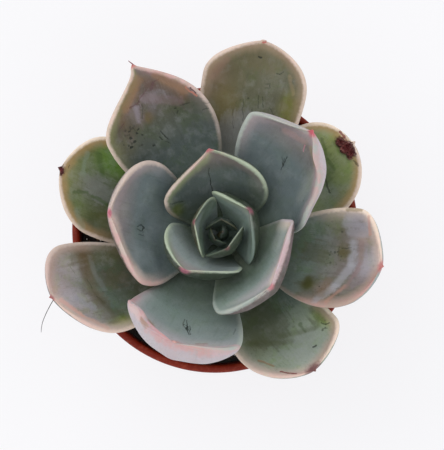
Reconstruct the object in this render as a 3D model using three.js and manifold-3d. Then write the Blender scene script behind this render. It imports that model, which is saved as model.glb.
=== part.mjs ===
// A young costa echeveria in a small round nursery pot.
//
// Millimetres, +Z up. The origin is the middle of the pot's underside, on the surface that it
// stands on. +Y is the side that the rosette leans to. The leaves are numbered from the oldest,
// at the bottom of the stem, to the youngest, in the bud.

import * as THREE from "three";
import { mergeVertices } from "three/addons/utils/BufferGeometryUtils.js";
import Module from "manifold-3d";

// Pot: thin moulded plastic with a stepped collar, and a ring channel under its floor that the
// drainage holes open into.
const POT_RIM_RADIUS = 27.5;
const POT_HEIGHT = 50;
const POT_BASE_RADIUS = 20;
const POT_WALL = 1;
const POT_FLOOR = 1.4;
const POT_EDGE = 0.4; // rounding of its edges
const POT_SIDES = 64;
const COLLAR_HEIGHT = 8;
const COLLAR_STEP = 1.1; // how far the collar stands out from the wall below it
const LIP_WIDTH = 1.5;
const LIP_HEIGHT = 1.2;
const CHANNEL_DEPTH = 1.2;
const CHANNEL_INNER_RADIUS = 8.5;
const CHANNEL_OUTER_RADIUS = 17;
const DRAIN_COUNT = 6;
const DRAIN_RADIUS = 2.4;
const DRAIN_SIDES = 24;
const NOTCH_COUNT = 4; // gaps in the foot ring, which let the water out of the channel
const NOTCH_WIDTH = 4;
const FLOOR_TOP = CHANNEL_DEPTH + POT_FLOOR;
const COLLAR_BOTTOM = POT_HEIGHT - COLLAR_HEIGHT;

// Potting mix: a plug that fills the pot to a little below its rim, with coarse grains in its top.
const SOIL_TOP = 43.5;
const SEAT_GAP = 0.3; // between pieces that touch
const SOIL_WAVE = 0.5; // how high its top is heaped
const SOIL_RINGS = 9;
const SOIL_SIDES = 48;
const GRAIN_COUNT = 34;
const GRAIN_SIZE = [0.6, 1.3];
const GRAIN_SINK = 0.25; // of its size, how deep a grain's middle lies
const GRAIN_SEED = 7;

// Rosette: its stem stands in the mix, off the pot's middle, and leans towards +Y.
const STEM_FOOT = new THREE.Vector3(1.9, -3.4, SOIL_TOP);
const LEAN_DEGREES = 8;
const LEAN_BEARING = 105;
const STEM_DEPTH = 16; // how deep it is rooted
const ROOT_RADIUS = 1.2; // of its lower end
const STEM_RADIUS = 3.2; // at the top of the mix
const STEM_TIP_RADIUS = 0.5; // under the bud
const STEM_SIDES = 20;
const FIRST_LEAF_HEIGHT = 4.6;
const OLD_INTERNODE = 0.85; // rise along the stem from one leaf to the next
const YOUNG_INTERNODE = 0.7;
const YOUNG_FROM = 9; // how many leaves are old ones

// Leaves, oldest first. bearing: where the blade points, in degrees from +X, each about 137 degrees
// past the one below it. blade: its length, width and thickness. rise: its slope at the stem and
// at its tip, in degrees. curl: how far its sides are turned up. left and right, looking out along
// the blade: the share of the length at which that side is widest, and how pointed its end is,
// from 0.4 for a blunt one to 2 for a drawn out one. Where they aren't 0: swerve, how far the tip
// stands off the middle line, to the left; skew, how much farther the right side reaches; roll,
// how far that side is turned up; fold, how far the curl is gathered in a crease along the middle.
// neck: how slowly the blade widens from the stem, where it isn't NECK.
const LEAVES = [
  { bearing: 36.5, blade: [29.8, 18.7, 2.5], rise: [12, 19], curl: 23,
    left: [0.65, 0.42], right: [0.64, 0.6] },
  { bearing: 156.5, blade: [32.8, 18.7, 2.6], rise: [12, 19], curl: 19,
    left: [0.69, 0.73], right: [0.75, 0.69], skew: 0.06 },
  { bearing: 299.5, blade: [29.5, 19.5, 2.6], rise: [6, 25], curl: 33,
    left: [0.8, 0.6], right: [0.63, 0.65], swerve: 2.9, skew: 0.1, roll: -6, neck: 1.5 },
  { bearing: 78.5, blade: [38.2, 20.1, 2.7], rise: [14, 23], curl: 23,
    left: [0.77, 0.88], right: [0.74, 0.68], swerve: -0.5, neck: 1.4 },
  { bearing: 206.5, blade: [34.5, 19.4, 2.7], rise: [11, 32], curl: 22,
    left: [0.73, 0.66], right: [0.77, 0.71], swerve: -3.6, skew: 0.16, roll: 3, neck: 2.3 },
  { bearing: 349, blade: [31.1, 19.9, 2.8], rise: [15, 27], curl: 39,
    left: [0.78, 0.87], right: [0.69, 0.42], swerve: -0.3, skew: -0.1, roll: 2, neck: 1.6 },
  { bearing: 122, blade: [37.3, 21.1, 2.8], rise: [20, 33], curl: 28,
    left: [0.69, 2.04], right: [0.58, 1.05], swerve: -2.6, roll: 8, neck: 1.8 },
  { bearing: 251, blade: [33.9, 22.5, 3.4], rise: [15, 79], curl: 41,
    left: [0.81, 0.69], right: [0.82, 0.74], swerve: -0.5, roll: 4, neck: 1.4 },
  { bearing: 41.5, blade: [28.8, 23.4, 3], rise: [28, 46], curl: 45,
    left: [0.82, 1.07], right: [0.59, 0.76], swerve: 1.8, skew: 0.29, roll: 21, neck: 1.6 },
  { bearing: 175.5, blade: [25.4, 23.7, 2.9], rise: [29.5, 52], curl: 36,
    left: [0.72, 1.17], right: [0.62, 0.7], swerve: -1.3, skew: 0.22, roll: 5, neck: 1.5 },
  { bearing: 317.5, blade: [21.5, 22.3, 2.5], rise: [40, 65], curl: 35,
    left: [0.73, 1.3], right: [0.7, 0.76], swerve: -1.8, skew: 0.14, roll: -2, neck: 1.1, fold: 0.3 },
  { bearing: 96, blade: [18.6, 20.8, 2.5], rise: [40, 43], curl: 52,
    left: [0.59, 1.6], right: [0.53, 0.92], swerve: 0.5, skew: 0.17, neck: 1, fold: 0.35 },
  { bearing: 232, blade: [16.1, 16.9, 2], rise: [52, 62], curl: 49,
    left: [0.71, 1.03], right: [0.48, 0.62], swerve: -0.4, skew: 0.3, roll: -7, neck: 0.8, fold: 0.1 },
  { bearing: 19.5, blade: [11.7, 16.2, 2], rise: [51, 78], curl: 49,
    left: [0.6, 1], right: [0.55, 1], swerve: 1.8, skew: 0.21, roll: -12, fold: 0.65 },
  { bearing: 162.5, blade: [11.1, 11.9, 1.1], rise: [63, 77], curl: 36,
    left: [0.63, 1], right: [0.63, 1], skew: 0.07, roll: -10, fold: 0.55 },
  { bearing: 304, blade: [11.1, 9.4, 1.1], rise: [63, 90], curl: 43,
    left: [0.64, 1], right: [0.63, 1], swerve: -0.9, roll: -6, fold: 0.5 },
  { bearing: 86, blade: [6.4, 6.5, 0.9], rise: [73, 86], curl: 56,
    left: [0.62, 0.9], right: [0.62, 0.9], roll: -4, fold: 0.4 },
  { bearing: 226, blade: [5.8, 4.5, 0.9], rise: [74.5, 91], curl: 56,
    left: [0.62, 0.9], right: [0.62, 0.9], swerve: 0.3, fold: 0.4 },
  { bearing: 348, blade: [4.8, 2.9, 0.8], rise: [90, 105], curl: 60,
    left: [0.62, 0.9], right: [0.62, 0.9], fold: 0.4 },
];
const BASE_WIDTH = 0.27; // of the widest, where the blade meets the stem
const NECK = 1.25;
const BASE_CURL = 0.45; // of the curl, at the stem
const BASE_THICKNESS = 0.75; // of the blade's middle
const FULL_THICKNESS_AT = 0.4; // share of the length
const THIN_BELOW = 0.8; // of the greatest width: where it is narrower, the blade is thinner
const THINNING = 0.8;
const SHOULDER = 2.2; // how long the blade keeps its width before its end
const POINT_LENGTH = 0.022; // of the blade, taken by the sharp point
const POINT_WIDTH = 0.06;
const MARGIN_FROM = 0.78; // where the upper face starts to round over, from the middle out
const MARGIN_DROP = 0.24; // of the blade's thickness
const BELLY = [2.2, 0.62]; // exponents of the lower face's bulge
const UPPER_POINTS = 9;
const LOWER_POINTS = 7;
const STATIONS = 14;
const STATION_CROWDING = 1.5; // towards the tip

const POT_COLOR = 0x8a3a22;
const SOIL_COLOR = 0x2b211b;
const STEM_COLOR = 0x7d7a55;
const OLD_LEAF_COLOR = 0x7c7a68;
const YOUNG_LEAF_COLOR = 0x6a8074;

const wasm = await Module();
wasm.setup();

const radians = THREE.MathUtils.degToRad;
const { clamp, lerp } = THREE.MathUtils;

function random(seed) {
  let state = seed;
  return () => {
    state = (state * 16807) % 2147483647;
    return state / 2147483647;
  };
}

function mesh(name, geometry, color, roughness) {
  const made = new THREE.Mesh(geometry, new THREE.MeshStandardMaterial({ color, roughness, metalness: 0 }));
  made.name = name;
  return made;
}

// A closed solid of a geometry, for a cut or a join.
function solid(geometry) {
  const bare = geometry.index ? geometry.toNonIndexed() : geometry.clone();
  bare.deleteAttribute("normal");
  bare.deleteAttribute("uv");
  const merged = mergeVertices(bare, 1e-4);
  return new wasm.Manifold(
    new wasm.Mesh({
      numProp: 3,
      vertProperties: merged.attributes.position.array,
      triVerts: new Uint32Array(merged.index.array),
    }),
  );
}

function geometryOf(made) {
  const { vertProperties, triVerts } = made.getMesh();
  const geometry = new THREE.BufferGeometry();
  geometry.setAttribute("position", new THREE.BufferAttribute(vertProperties, 3));
  geometry.setIndex(new THREE.BufferAttribute(triVerts, 1));
  geometry.computeVertexNormals();
  return geometry;
}

// A turned solid, of a profile that runs from the axis out and back to it.
function turned(profile, sides) {
  const points = profile.map(([radius, height]) => new THREE.Vector2(radius, height));
  return new THREE.LatheGeometry(points, sides).rotateX(Math.PI / 2);
}

// A closed skin over rings of points: each ring is joined to the next, and the two ends are closed.
function skin(rings, first, last) {
  const points = [first, ...rings.flat(), last];
  const faces = [];
  const around = rings[0].length;
  const at = (ring, i) => 1 + ring * around + (i % around);
  for (let i = 0; i < around; i += 1) {
    faces.push(0, at(0, i), at(0, i + 1));
    for (let ring = 0; ring < rings.length - 1; ring += 1) {
      faces.push(at(ring, i), at(ring + 1, i + 1), at(ring, i + 1));
      faces.push(at(ring, i), at(ring + 1, i), at(ring + 1, i + 1));
    }
    faces.push(at(rings.length - 1, i), points.length - 1, at(rings.length - 1, i + 1));
  }
  const places = points.flatMap((point) => point.toArray());
  const geometry = new THREE.BufferGeometry();
  geometry.setAttribute("position", new THREE.Float32BufferAttribute(places, 3));
  geometry.setIndex(faces);
  geometry.computeVertexNormals();
  return geometry;
}

// The pot's inner radius, below its collar.
function innerRadius(height) {
  return lerp(POT_BASE_RADIUS, POT_RIM_RADIUS - COLLAR_STEP, height / POT_HEIGHT) - POT_WALL;
}

function potWall() {
  const inside = POT_RIM_RADIUS - LIP_WIDTH;
  const lipBottom = POT_HEIGHT - LIP_HEIGHT;
  return turned(
    [
      [0, 0],
      [CHANNEL_INNER_RADIUS, 0],
      [CHANNEL_INNER_RADIUS + POT_EDGE, CHANNEL_DEPTH],
      [CHANNEL_OUTER_RADIUS - POT_EDGE, CHANNEL_DEPTH],
      [CHANNEL_OUTER_RADIUS, 0],
      [POT_BASE_RADIUS - POT_EDGE, 0],
      [POT_BASE_RADIUS, POT_EDGE],
      [innerRadius(COLLAR_BOTTOM) + POT_WALL, COLLAR_BOTTOM - POT_EDGE],
      [POT_RIM_RADIUS - 2 * POT_EDGE, COLLAR_BOTTOM],
      [POT_RIM_RADIUS - POT_EDGE, lipBottom - POT_EDGE],
      [POT_RIM_RADIUS, lipBottom],
      [POT_RIM_RADIUS, POT_HEIGHT - POT_EDGE],
      [POT_RIM_RADIUS - POT_EDGE, POT_HEIGHT],
      [inside + POT_EDGE, POT_HEIGHT],
      [inside, POT_HEIGHT - POT_EDGE],
      [inside, lipBottom],
      [innerRadius(COLLAR_BOTTOM), COLLAR_BOTTOM],
      [innerRadius(FLOOR_TOP), FLOOR_TOP],
      [0, FLOOR_TOP],
    ],
    POT_SIDES,
  );
}

function drain(i) {
  const middle = (CHANNEL_INNER_RADIUS + CHANNEL_OUTER_RADIUS) / 2;
  const hole = new THREE.CylinderGeometry(DRAIN_RADIUS, DRAIN_RADIUS, FLOOR_TOP * 3, DRAIN_SIDES);
  hole.rotateX(Math.PI / 2).translate(middle, 0, 0);
  return solid(hole.rotateZ(((i + 0.5) / DRAIN_COUNT) * Math.PI * 2));
}

function notch(i) {
  const width = POT_BASE_RADIUS - CHANNEL_OUTER_RADIUS + 2;
  const middle = (POT_BASE_RADIUS + CHANNEL_OUTER_RADIUS) / 2;
  const gap = new THREE.BoxGeometry(width, NOTCH_WIDTH, CHANNEL_DEPTH * 2).translate(middle, 0, 0);
  return solid(gap.rotateZ((i / NOTCH_COUNT) * Math.PI * 2));
}

function pot() {
  const cuts = [];
  for (let i = 0; i < DRAIN_COUNT; i += 1) cuts.push(drain(i));
  for (let i = 0; i < NOTCH_COUNT; i += 1) cuts.push(notch(i));
  return mesh("pot", geometryOf(wasm.Manifold.difference([solid(potWall()), ...cuts])), POT_COLOR, 0.55);
}

// Puts a thing made round the stem's own axis in its place in the pot, foot down.
function leaned(object) {
  const bearing = radians(LEAN_BEARING);
  const axis = new THREE.Vector3(-Math.sin(bearing), Math.cos(bearing), 0);
  object.setRotationFromAxisAngle(axis, radians(LEAN_DEGREES));
  object.position.copy(STEM_FOOT);
  object.updateMatrix();
  return object;
}

// Height of the mix's heaped top, by long and short waves.
function soilHeight(x, y) {
  const long = Math.sin(x * 0.33 + 0.8) * Math.cos(y * 0.29 - 0.4);
  const short = Math.sin(x * 1.3 - y * 0.7) * Math.cos(y * 1.5 + x * 0.4);
  return SOIL_TOP + SOIL_WAVE * (0.6 * long + 0.4 * short - 1);
}

function soilPlug() {
  const ring = (radius, height) => {
    const points = [];
    for (let i = 0; i < SOIL_SIDES; i += 1) {
      const angle = -(i / SOIL_SIDES) * Math.PI * 2;
      const x = radius * Math.cos(angle);
      const y = radius * Math.sin(angle);
      points.push(new THREE.Vector3(x, y, height ?? soilHeight(x, y)));
    }
    return points;
  };
  const rings = [ring(innerRadius(FLOOR_TOP) - SEAT_GAP, FLOOR_TOP)];
  const brim = innerRadius(SOIL_TOP - 4 * SOIL_WAVE) - SEAT_GAP;
  for (let i = SOIL_RINGS; i > 0; i -= 1) rings.push(ring((brim * i) / SOIL_RINGS));
  return skin(rings, new THREE.Vector3(0, 0, FLOOR_TOP), new THREE.Vector3(0, 0, soilHeight(0, 0)));
}

// Coarse grains, seeded, spread evenly over the top, clear of the stem and of the wall.
function grains() {
  const next = random(GRAIN_SEED);
  const outermost = innerRadius(SOIL_TOP) - 2 * GRAIN_SIZE[1];
  const made = [];
  for (let i = 0; i < GRAIN_COUNT; i += 1) {
    const size = lerp(...GRAIN_SIZE, next());
    const radius = outermost * Math.sqrt(lerp(0.12, 1, next()));
    const angle = next() * Math.PI * 2;
    const x = radius * Math.cos(angle);
    const y = radius * Math.sin(angle);
    const grain = new THREE.IcosahedronGeometry(size, 0).scale(1, 0.8, 0.75);
    grain.rotateX(next()).rotateZ(next() * Math.PI);
    made.push(solid(grain.translate(x, y, soilHeight(x, y) - GRAIN_SINK * size)));
  }
  return made;
}

function soil() {
  const { matrix } = leaned(new THREE.Object3D());
  const hole = solid(turned(stemProfile(SEAT_GAP), STEM_SIDES).applyMatrix4(matrix));
  const made = wasm.Manifold.union([solid(soilPlug()), ...grains()]).subtract(hole);
  return mesh("soil", geometryOf(made), SOIL_COLOR, 0.95);
}

// Profile of the stem below its oldest leaf, or of its hole in the mix, which is wider by the gap.
function stemProfile(gap) {
  return [
    [0, -STEM_DEPTH - gap],
    [ROOT_RADIUS + gap, -STEM_DEPTH + ROOT_RADIUS / 2 - gap],
    [(ROOT_RADIUS + STEM_RADIUS) / 2 + gap, -STEM_DEPTH / 2],
    [STEM_RADIUS + gap, 0],
    [STEM_RADIUS + gap, FIRST_LEAF_HEIGHT / 2],
    [0, FIRST_LEAF_HEIGHT / 2],
  ];
}

function stem() {
  const buried = stemProfile(0).slice(0, 4);
  const profile = [...buried, [STEM_TIP_RADIUS, STEM_TOP], [0, STEM_TOP + SEAT_GAP]];
  return mesh("stem", turned(profile, STEM_SIDES), STEM_COLOR, 0.8);
}

function stemRadius(height) {
  return lerp(STEM_RADIUS, STEM_TIP_RADIUS, clamp(height / STEM_TOP, 0, 1));
}

function leafHeight(number) {
  const old = Math.min(number, YOUNG_FROM);
  return FIRST_LEAF_HEIGHT + OLD_INTERNODE * old + YOUNG_INTERNODE * (number - old);
}

// How far one side of the blade reaches at a share of its length, as a share of its farthest.
function outline([widest, sharp], neck, share) {
  const end = 1 - POINT_LENGTH;
  if (share < widest) {
    const x = Math.sin((share / widest) * (Math.PI / 2));
    return lerp(BASE_WIDTH, 1, x ** neck);
  }
  if (share < end) {
    const x = (share - widest) / (end - widest);
    return lerp(POINT_WIDTH, 1, (1 - x ** SHOULDER) ** sharp);
  }
  return POINT_WIDTH * ((1 - share) / POINT_LENGTH);
}

// The blade's middle line: an arc that rises from the stem, in the upright plane of its bearing.
function midrib(leaf, share, start) {
  const [length] = leaf.blade;
  const [low, high] = leaf.rise.map(radians);
  const bend = high - low;
  const rise = low + bend * share;
  return {
    out: start.out + (length / bend) * (Math.sin(rise) - Math.sin(low)),
    up: start.up + (length / bend) * (Math.cos(low) - Math.cos(rise)),
    rise,
  };
}

// A point of the leaf's skin: share along the blade, across from -1 to 1, and under true for the
// lower face. The blade's section is an arc, or a V where it is folded, that rounds over at its
// margins. The lower face bulges below it.
function leafPoint(leaf, share, across, under, start) {
  const { swerve = 0, skew = 0, roll = 0, fold = 0, neck = NECK } = leaf;
  const [, width, thickness] = leaf.blade;
  const { out, up, rise } = midrib(leaf, share, start);
  const [left, right] = [leaf.left, leaf.right].map((side) => outline(side, neck, share));
  const half = (width / 2) * (across < 0 ? right : left);
  const off = Math.abs(across);

  const curl = radians(leaf.curl) * Math.min(1, BASE_CURL + share);
  const chord = (curl / 2) * off ** (1 - fold);
  const turn = Math.sign(across) * chord * (2 - fold);

  const body = lerp(BASE_THICKNESS, 1, Math.min(1, share / FULL_THICKNESS_AT));
  const depth = thickness * body * Math.min(1, (left + right) / 2 / THIN_BELOW) ** THINNING;
  const drop = MARGIN_DROP * depth;
  const edge = Math.max(0, off - MARGIN_FROM) / (1 - MARGIN_FROM);
  const sink = under
    ? lerp(drop, depth, (1 - off ** BELLY[0]) ** BELLY[1])
    : drop * (1 - Math.sqrt(1 - edge ** 2));

  const side = half * across * Math.cos(chord) + sink * Math.sin(turn);
  const lift = half * off * Math.sin(chord) - sink * Math.cos(turn);
  const tilt = radians(roll) * share;
  const away = side * Math.cos(tilt) + lift * Math.sin(tilt);
  const above = lift * Math.cos(tilt) - side * Math.sin(tilt);
  const ahead = -skew * away * share;
  return new THREE.Vector3(
    out + ahead * Math.cos(rise) - above * Math.sin(rise),
    away + swerve * share ** 2,
    up + ahead * Math.sin(rise) + above * Math.cos(rise),
  );
}

// Where the points of a leaf's section lie, crowded towards the margins: the upper face, then the
// lower one, back.
function sectionPoints() {
  const points = [];
  const crowd = (share) => Math.sin((share * 2 - 1) * (Math.PI / 2));
  for (let i = 0; i < UPPER_POINTS; i += 1) points.push([crowd(i / (UPPER_POINTS - 1)), false]);
  for (let i = LOWER_POINTS; i > 0; i -= 1) points.push([crowd(i / (LOWER_POINTS + 1)), true]);
  return points;
}

function leaf(shape, number) {
  const height = leafHeight(number);
  const start = { out: stemRadius(height) + SEAT_GAP, up: height };
  const rings = [];
  for (let k = 0; k < STATIONS; k += 1) {
    const share = 1 - (1 - k / STATIONS) ** STATION_CROWDING;
    rings.push(sectionPoints().map(([across, under]) => leafPoint(shape, share, across, under, start)));
  }
  const foot = new THREE.Vector3();
  rings[0].forEach((point) => foot.addScaledVector(point, 1 / rings[0].length));
  const tip = leafPoint(shape, 1, 0, false, start);
  const color = number < YOUNG_FROM - 2 ? OLD_LEAF_COLOR : YOUNG_LEAF_COLOR;
  const made = mesh(`leaf_${String(number + 1).padStart(2, "0")}`, skin(rings, foot, tip), color, 0.6);
  made.rotation.z = radians(shape.bearing);
  return made;
}

function rosette() {
  const group = new THREE.Group();
  group.add(stem());
  LEAVES.forEach((shape, number) => group.add(leaf(shape, number)));
  return leaned(group);
}

const STEM_TOP = leafHeight(LEAVES.length - 1) + SEAT_GAP;

const part = new THREE.Group();
part.add(pot());
part.add(soil());
part.add(rosette());

export default part;
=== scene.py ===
# %% [markdown]
# # A potted costa echeveria
#
# The plant is a rosette of nineteen fleshy leaves on a short stem, in a small round nursery pot.
# The CAD model fixes where everything is and how big it is. This lesson dresses it: finer leaves
# with their bloom, scars and pink tips, a moulded pot, crumbly potting mix, light and a camera.

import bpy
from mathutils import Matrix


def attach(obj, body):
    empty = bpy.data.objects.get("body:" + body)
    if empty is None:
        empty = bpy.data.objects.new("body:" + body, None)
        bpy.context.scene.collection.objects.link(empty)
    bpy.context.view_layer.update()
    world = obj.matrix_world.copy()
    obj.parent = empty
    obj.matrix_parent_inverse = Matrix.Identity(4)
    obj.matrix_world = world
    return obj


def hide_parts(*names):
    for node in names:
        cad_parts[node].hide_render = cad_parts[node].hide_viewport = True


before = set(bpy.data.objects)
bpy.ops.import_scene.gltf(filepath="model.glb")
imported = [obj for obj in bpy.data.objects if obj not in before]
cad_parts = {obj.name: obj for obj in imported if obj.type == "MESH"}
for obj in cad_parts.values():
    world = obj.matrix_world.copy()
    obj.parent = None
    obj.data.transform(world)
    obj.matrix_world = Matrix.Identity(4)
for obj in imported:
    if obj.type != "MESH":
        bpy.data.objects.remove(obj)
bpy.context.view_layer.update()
print("CAD pieces:", len(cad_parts))

# %% [markdown]
# ## Small tools
#
# Every operator works on what is selected, so `only` clears the selection first and then picks one
# piece. All sizes are written in millimetres, as on a drawing, and `MM` turns them to Blender's
# metres.

# %% Helpers for working on one piece at a time
import math
from functools import reduce
from types import SimpleNamespace

import bpy
import numpy as np
from mathutils import Vector

MM = 0.001


def select_none():
    bpy.ops.object.select_all(action="DESELECT")


def only(piece):
    if bpy.context.mode != "OBJECT":
        leave_edit()
    select_none()
    piece.select_set(True)
    bpy.context.view_layer.objects.active = piece


def edit(action):
    bpy.ops.object.mode_set(mode="EDIT")
    bpy.ops.mesh.select_all(action=action)


def leave_edit():
    bpy.ops.object.mode_set(mode="OBJECT")


def newest(name):
    piece = bpy.context.active_object
    piece.name = piece.data.name = name
    return piece


def read_points(piece):
    flat = np.zeros(len(piece.data.vertices) * 3)
    piece.data.vertices.foreach_get("co", flat)
    return flat.reshape(-1, 3)


def write_points(piece, points):
    piece.data.vertices.foreach_set("co", np.asarray(points).ravel())
    piece.data.update()


def face_outwards(piece):
    only(piece)
    edit("SELECT")
    bpy.ops.mesh.normals_make_consistent(inside=False)
    leave_edit()


def triangles(piece):
    return sum(len(face.vertices) - 2 for face in piece.data.polygons)


# %% [markdown]
# ## The leaf rule
#
# A costa echeveria leaf is a spoon: narrow where it leaves the stem, widest past its middle, with
# turned up sides and a tiny sharp point. It could be sculpted, but nineteen leaves that must fit
# the CAD solids are safer as a rule. A place on a leaf is its share of the length, from stem to
# tip, and how far across it is, from -1 to 1.
#
# In the table, `bearing` is the direction that a leaf points in, `blade` is its length, width and
# thickness, `rise` is its slope at the foot and at the tip, and `curl` is how far its sides turn
# up. `left` and `right` say where that side is widest and how it closes. The others are for leaves
# that differ: `swerve` bends the tip sideways, `skew` shears the blade, `roll` twists it, `neck`
# slims its foot and `fold` creases it along the middle.

# %% Shapes of the leaves, oldest first
LEAVES = {
    "leaf_01": dict(
        bearing=36.5, blade=(29.8, 18.7, 2.5), rise=(12, 19), curl=23, left=(0.65, 0.42),
        right=(0.64, 0.6),
    ),
    "leaf_02": dict(
        bearing=156.5, blade=(32.8, 18.7, 2.6), rise=(12, 19), curl=19, left=(0.69, 0.73),
        right=(0.75, 0.69), skew=0.06,
    ),
    "leaf_03": dict(
        bearing=299.5, blade=(29.5, 19.5, 2.6), rise=(6, 25), curl=33, left=(0.8, 0.6),
        right=(0.63, 0.65), swerve=2.9, skew=0.1, roll=-6, neck=1.5,
    ),
    "leaf_04": dict(
        bearing=78.5, blade=(38.2, 20.1, 2.7), rise=(14, 23), curl=23, left=(0.77, 0.88),
        right=(0.74, 0.68), swerve=-0.5, neck=1.4,
    ),
    "leaf_05": dict(
        bearing=206.5, blade=(34.5, 19.4, 2.7), rise=(11, 32), curl=22, left=(0.73, 0.66),
        right=(0.77, 0.71), swerve=-3.6, skew=0.16, roll=3, neck=2.3,
    ),
    "leaf_06": dict(
        bearing=349, blade=(31.1, 19.9, 2.8), rise=(15, 27), curl=39, left=(0.78, 0.87),
        right=(0.69, 0.42), swerve=-0.3, skew=-0.1, roll=2, neck=1.6,
    ),
    "leaf_07": dict(
        bearing=122, blade=(37.3, 21.1, 2.8), rise=(20, 33), curl=28, left=(0.69, 2.04),
        right=(0.58, 1.05), swerve=-2.6, roll=8, neck=1.8,
    ),
    "leaf_08": dict(
        bearing=251, blade=(33.9, 22.5, 3.4), rise=(15, 79), curl=41, left=(0.81, 0.69),
        right=(0.82, 0.74), swerve=-0.5, roll=4, neck=1.4,
    ),
    "leaf_09": dict(
        bearing=41.5, blade=(28.8, 23.4, 3), rise=(28, 46), curl=45, left=(0.82, 1.07),
        right=(0.59, 0.76), swerve=1.8, skew=0.29, roll=21, neck=1.6,
    ),
    "leaf_10": dict(
        bearing=175.5, blade=(25.4, 23.7, 2.9), rise=(29.5, 52), curl=36, left=(0.72, 1.17),
        right=(0.62, 0.7), swerve=-1.3, skew=0.22, roll=5, neck=1.5,
    ),
    "leaf_11": dict(
        bearing=317.5, blade=(21.5, 22.3, 2.5), rise=(40, 65), curl=35, left=(0.73, 1.3),
        right=(0.7, 0.76), swerve=-1.8, skew=0.14, roll=-2, neck=1.1, fold=0.3,
    ),
    "leaf_12": dict(
        bearing=96, blade=(18.6, 20.8, 2.5), rise=(40, 43), curl=52, left=(0.59, 1.6),
        right=(0.53, 0.92), swerve=0.5, skew=0.17, neck=1, fold=0.35,
    ),
    "leaf_13": dict(
        bearing=232, blade=(16.1, 16.9, 2), rise=(52, 62), curl=49, left=(0.71, 1.03),
        right=(0.48, 0.62), swerve=-0.4, skew=0.3, roll=-7, neck=0.8, fold=0.1,
    ),
    "leaf_14": dict(
        bearing=19.5, blade=(11.7, 16.2, 2), rise=(51, 78), curl=49, left=(0.6, 1), right=(0.55, 1),
        swerve=1.8, skew=0.21, roll=-12, fold=0.65,
    ),
    "leaf_15": dict(
        bearing=162.5, blade=(11.1, 11.9, 1.1), rise=(63, 77), curl=36, left=(0.63, 1),
        right=(0.63, 1), skew=0.07, roll=-10, fold=0.55,
    ),
    "leaf_16": dict(
        bearing=304, blade=(11.1, 9.4, 1.1), rise=(63, 90), curl=43, left=(0.64, 1),
        right=(0.63, 1), swerve=-0.9, roll=-6, fold=0.5,
    ),
    "leaf_17": dict(
        bearing=86, blade=(6.4, 6.5, 0.9), rise=(73, 86), curl=56, left=(0.62, 0.9),
        right=(0.62, 0.9), roll=-4, fold=0.4,
    ),
    "leaf_18": dict(
        bearing=226, blade=(5.8, 4.5, 0.9), rise=(74.5, 91), curl=56, left=(0.62, 0.9),
        right=(0.62, 0.9), swerve=0.3, fold=0.4,
    ),
    "leaf_19": dict(
        bearing=348, blade=(4.8, 2.9, 0.8), rise=(90, 105), curl=60, left=(0.62, 0.9),
        right=(0.62, 0.9), fold=0.4,
    ),
}
BASE_WIDTH, NECK, BASE_CURL = 0.27, 1.25, 0.45
BASE_THICKNESS, FULL_THICKNESS_AT = 0.75, 0.4
THIN_BELOW, THINNING = 0.8, 0.8
SHOULDER, POINT_LENGTH, POINT_WIDTH = 2.2, 0.022, 0.06
MARGIN_FROM, MARGIN_DROP, BELLY = 0.78, 0.24, (2.2, 0.62)
print("leaves:", len(LEAVES))

# %% Where the leaves sit on the stem
SOIL_TOP = 43.5
STEM_FOOT = np.array([1.9, -3.4, SOIL_TOP])
LEAN, LEAN_BEARING = math.radians(8), math.radians(105)
STEM_RADIUS, STEM_TIP_RADIUS, LEAF_GAP = 3.2, 0.5, 0.3  # a leaf's foot stands just off the stem


def leaf_height(number):
    old = min(number, 9)
    return 4.6 + 0.85 * old + 0.7 * (number - old)


STEM_TOP = leaf_height(len(LEAVES) - 1) + 0.3


def stem_radius(height):
    return np.interp(height, [0, STEM_TOP], [STEM_RADIUS, STEM_TIP_RADIUS])


def leaned(points):
    axis = np.array([-math.sin(LEAN_BEARING), math.cos(LEAN_BEARING), 0])
    along = np.outer(points @ axis, axis) * (1 - math.cos(LEAN))
    return points * math.cos(LEAN) + np.cross(axis, points) * math.sin(LEAN) + along + STEM_FOOT


print("stem is", round(STEM_TOP, 2), "mm above the mix")


# %% The outline and the skin of a leaf
def blend_to(low, high, share):
    return low + (high - low) * share


def outline(side, neck, share):
    widest, sharp = side
    end = 1 - POINT_LENGTH
    rising = np.sin(np.clip(share / widest, 0, 1) * math.pi / 2) ** neck
    closing = (1 - np.clip((share - widest) / (end - widest), 0, 1) ** SHOULDER) ** sharp
    foot, far = blend_to(BASE_WIDTH, 1, rising), blend_to(POINT_WIDTH, 1, closing)
    blade = np.where(share < widest, foot, far)
    return np.where(share < end, blade, POINT_WIDTH * (1 - share) / POINT_LENGTH)


def sides(leaf, share):
    neck = leaf.get("neck", NECK)
    return outline(leaf["left"], neck, share), outline(leaf["right"], neck, share)


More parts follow.
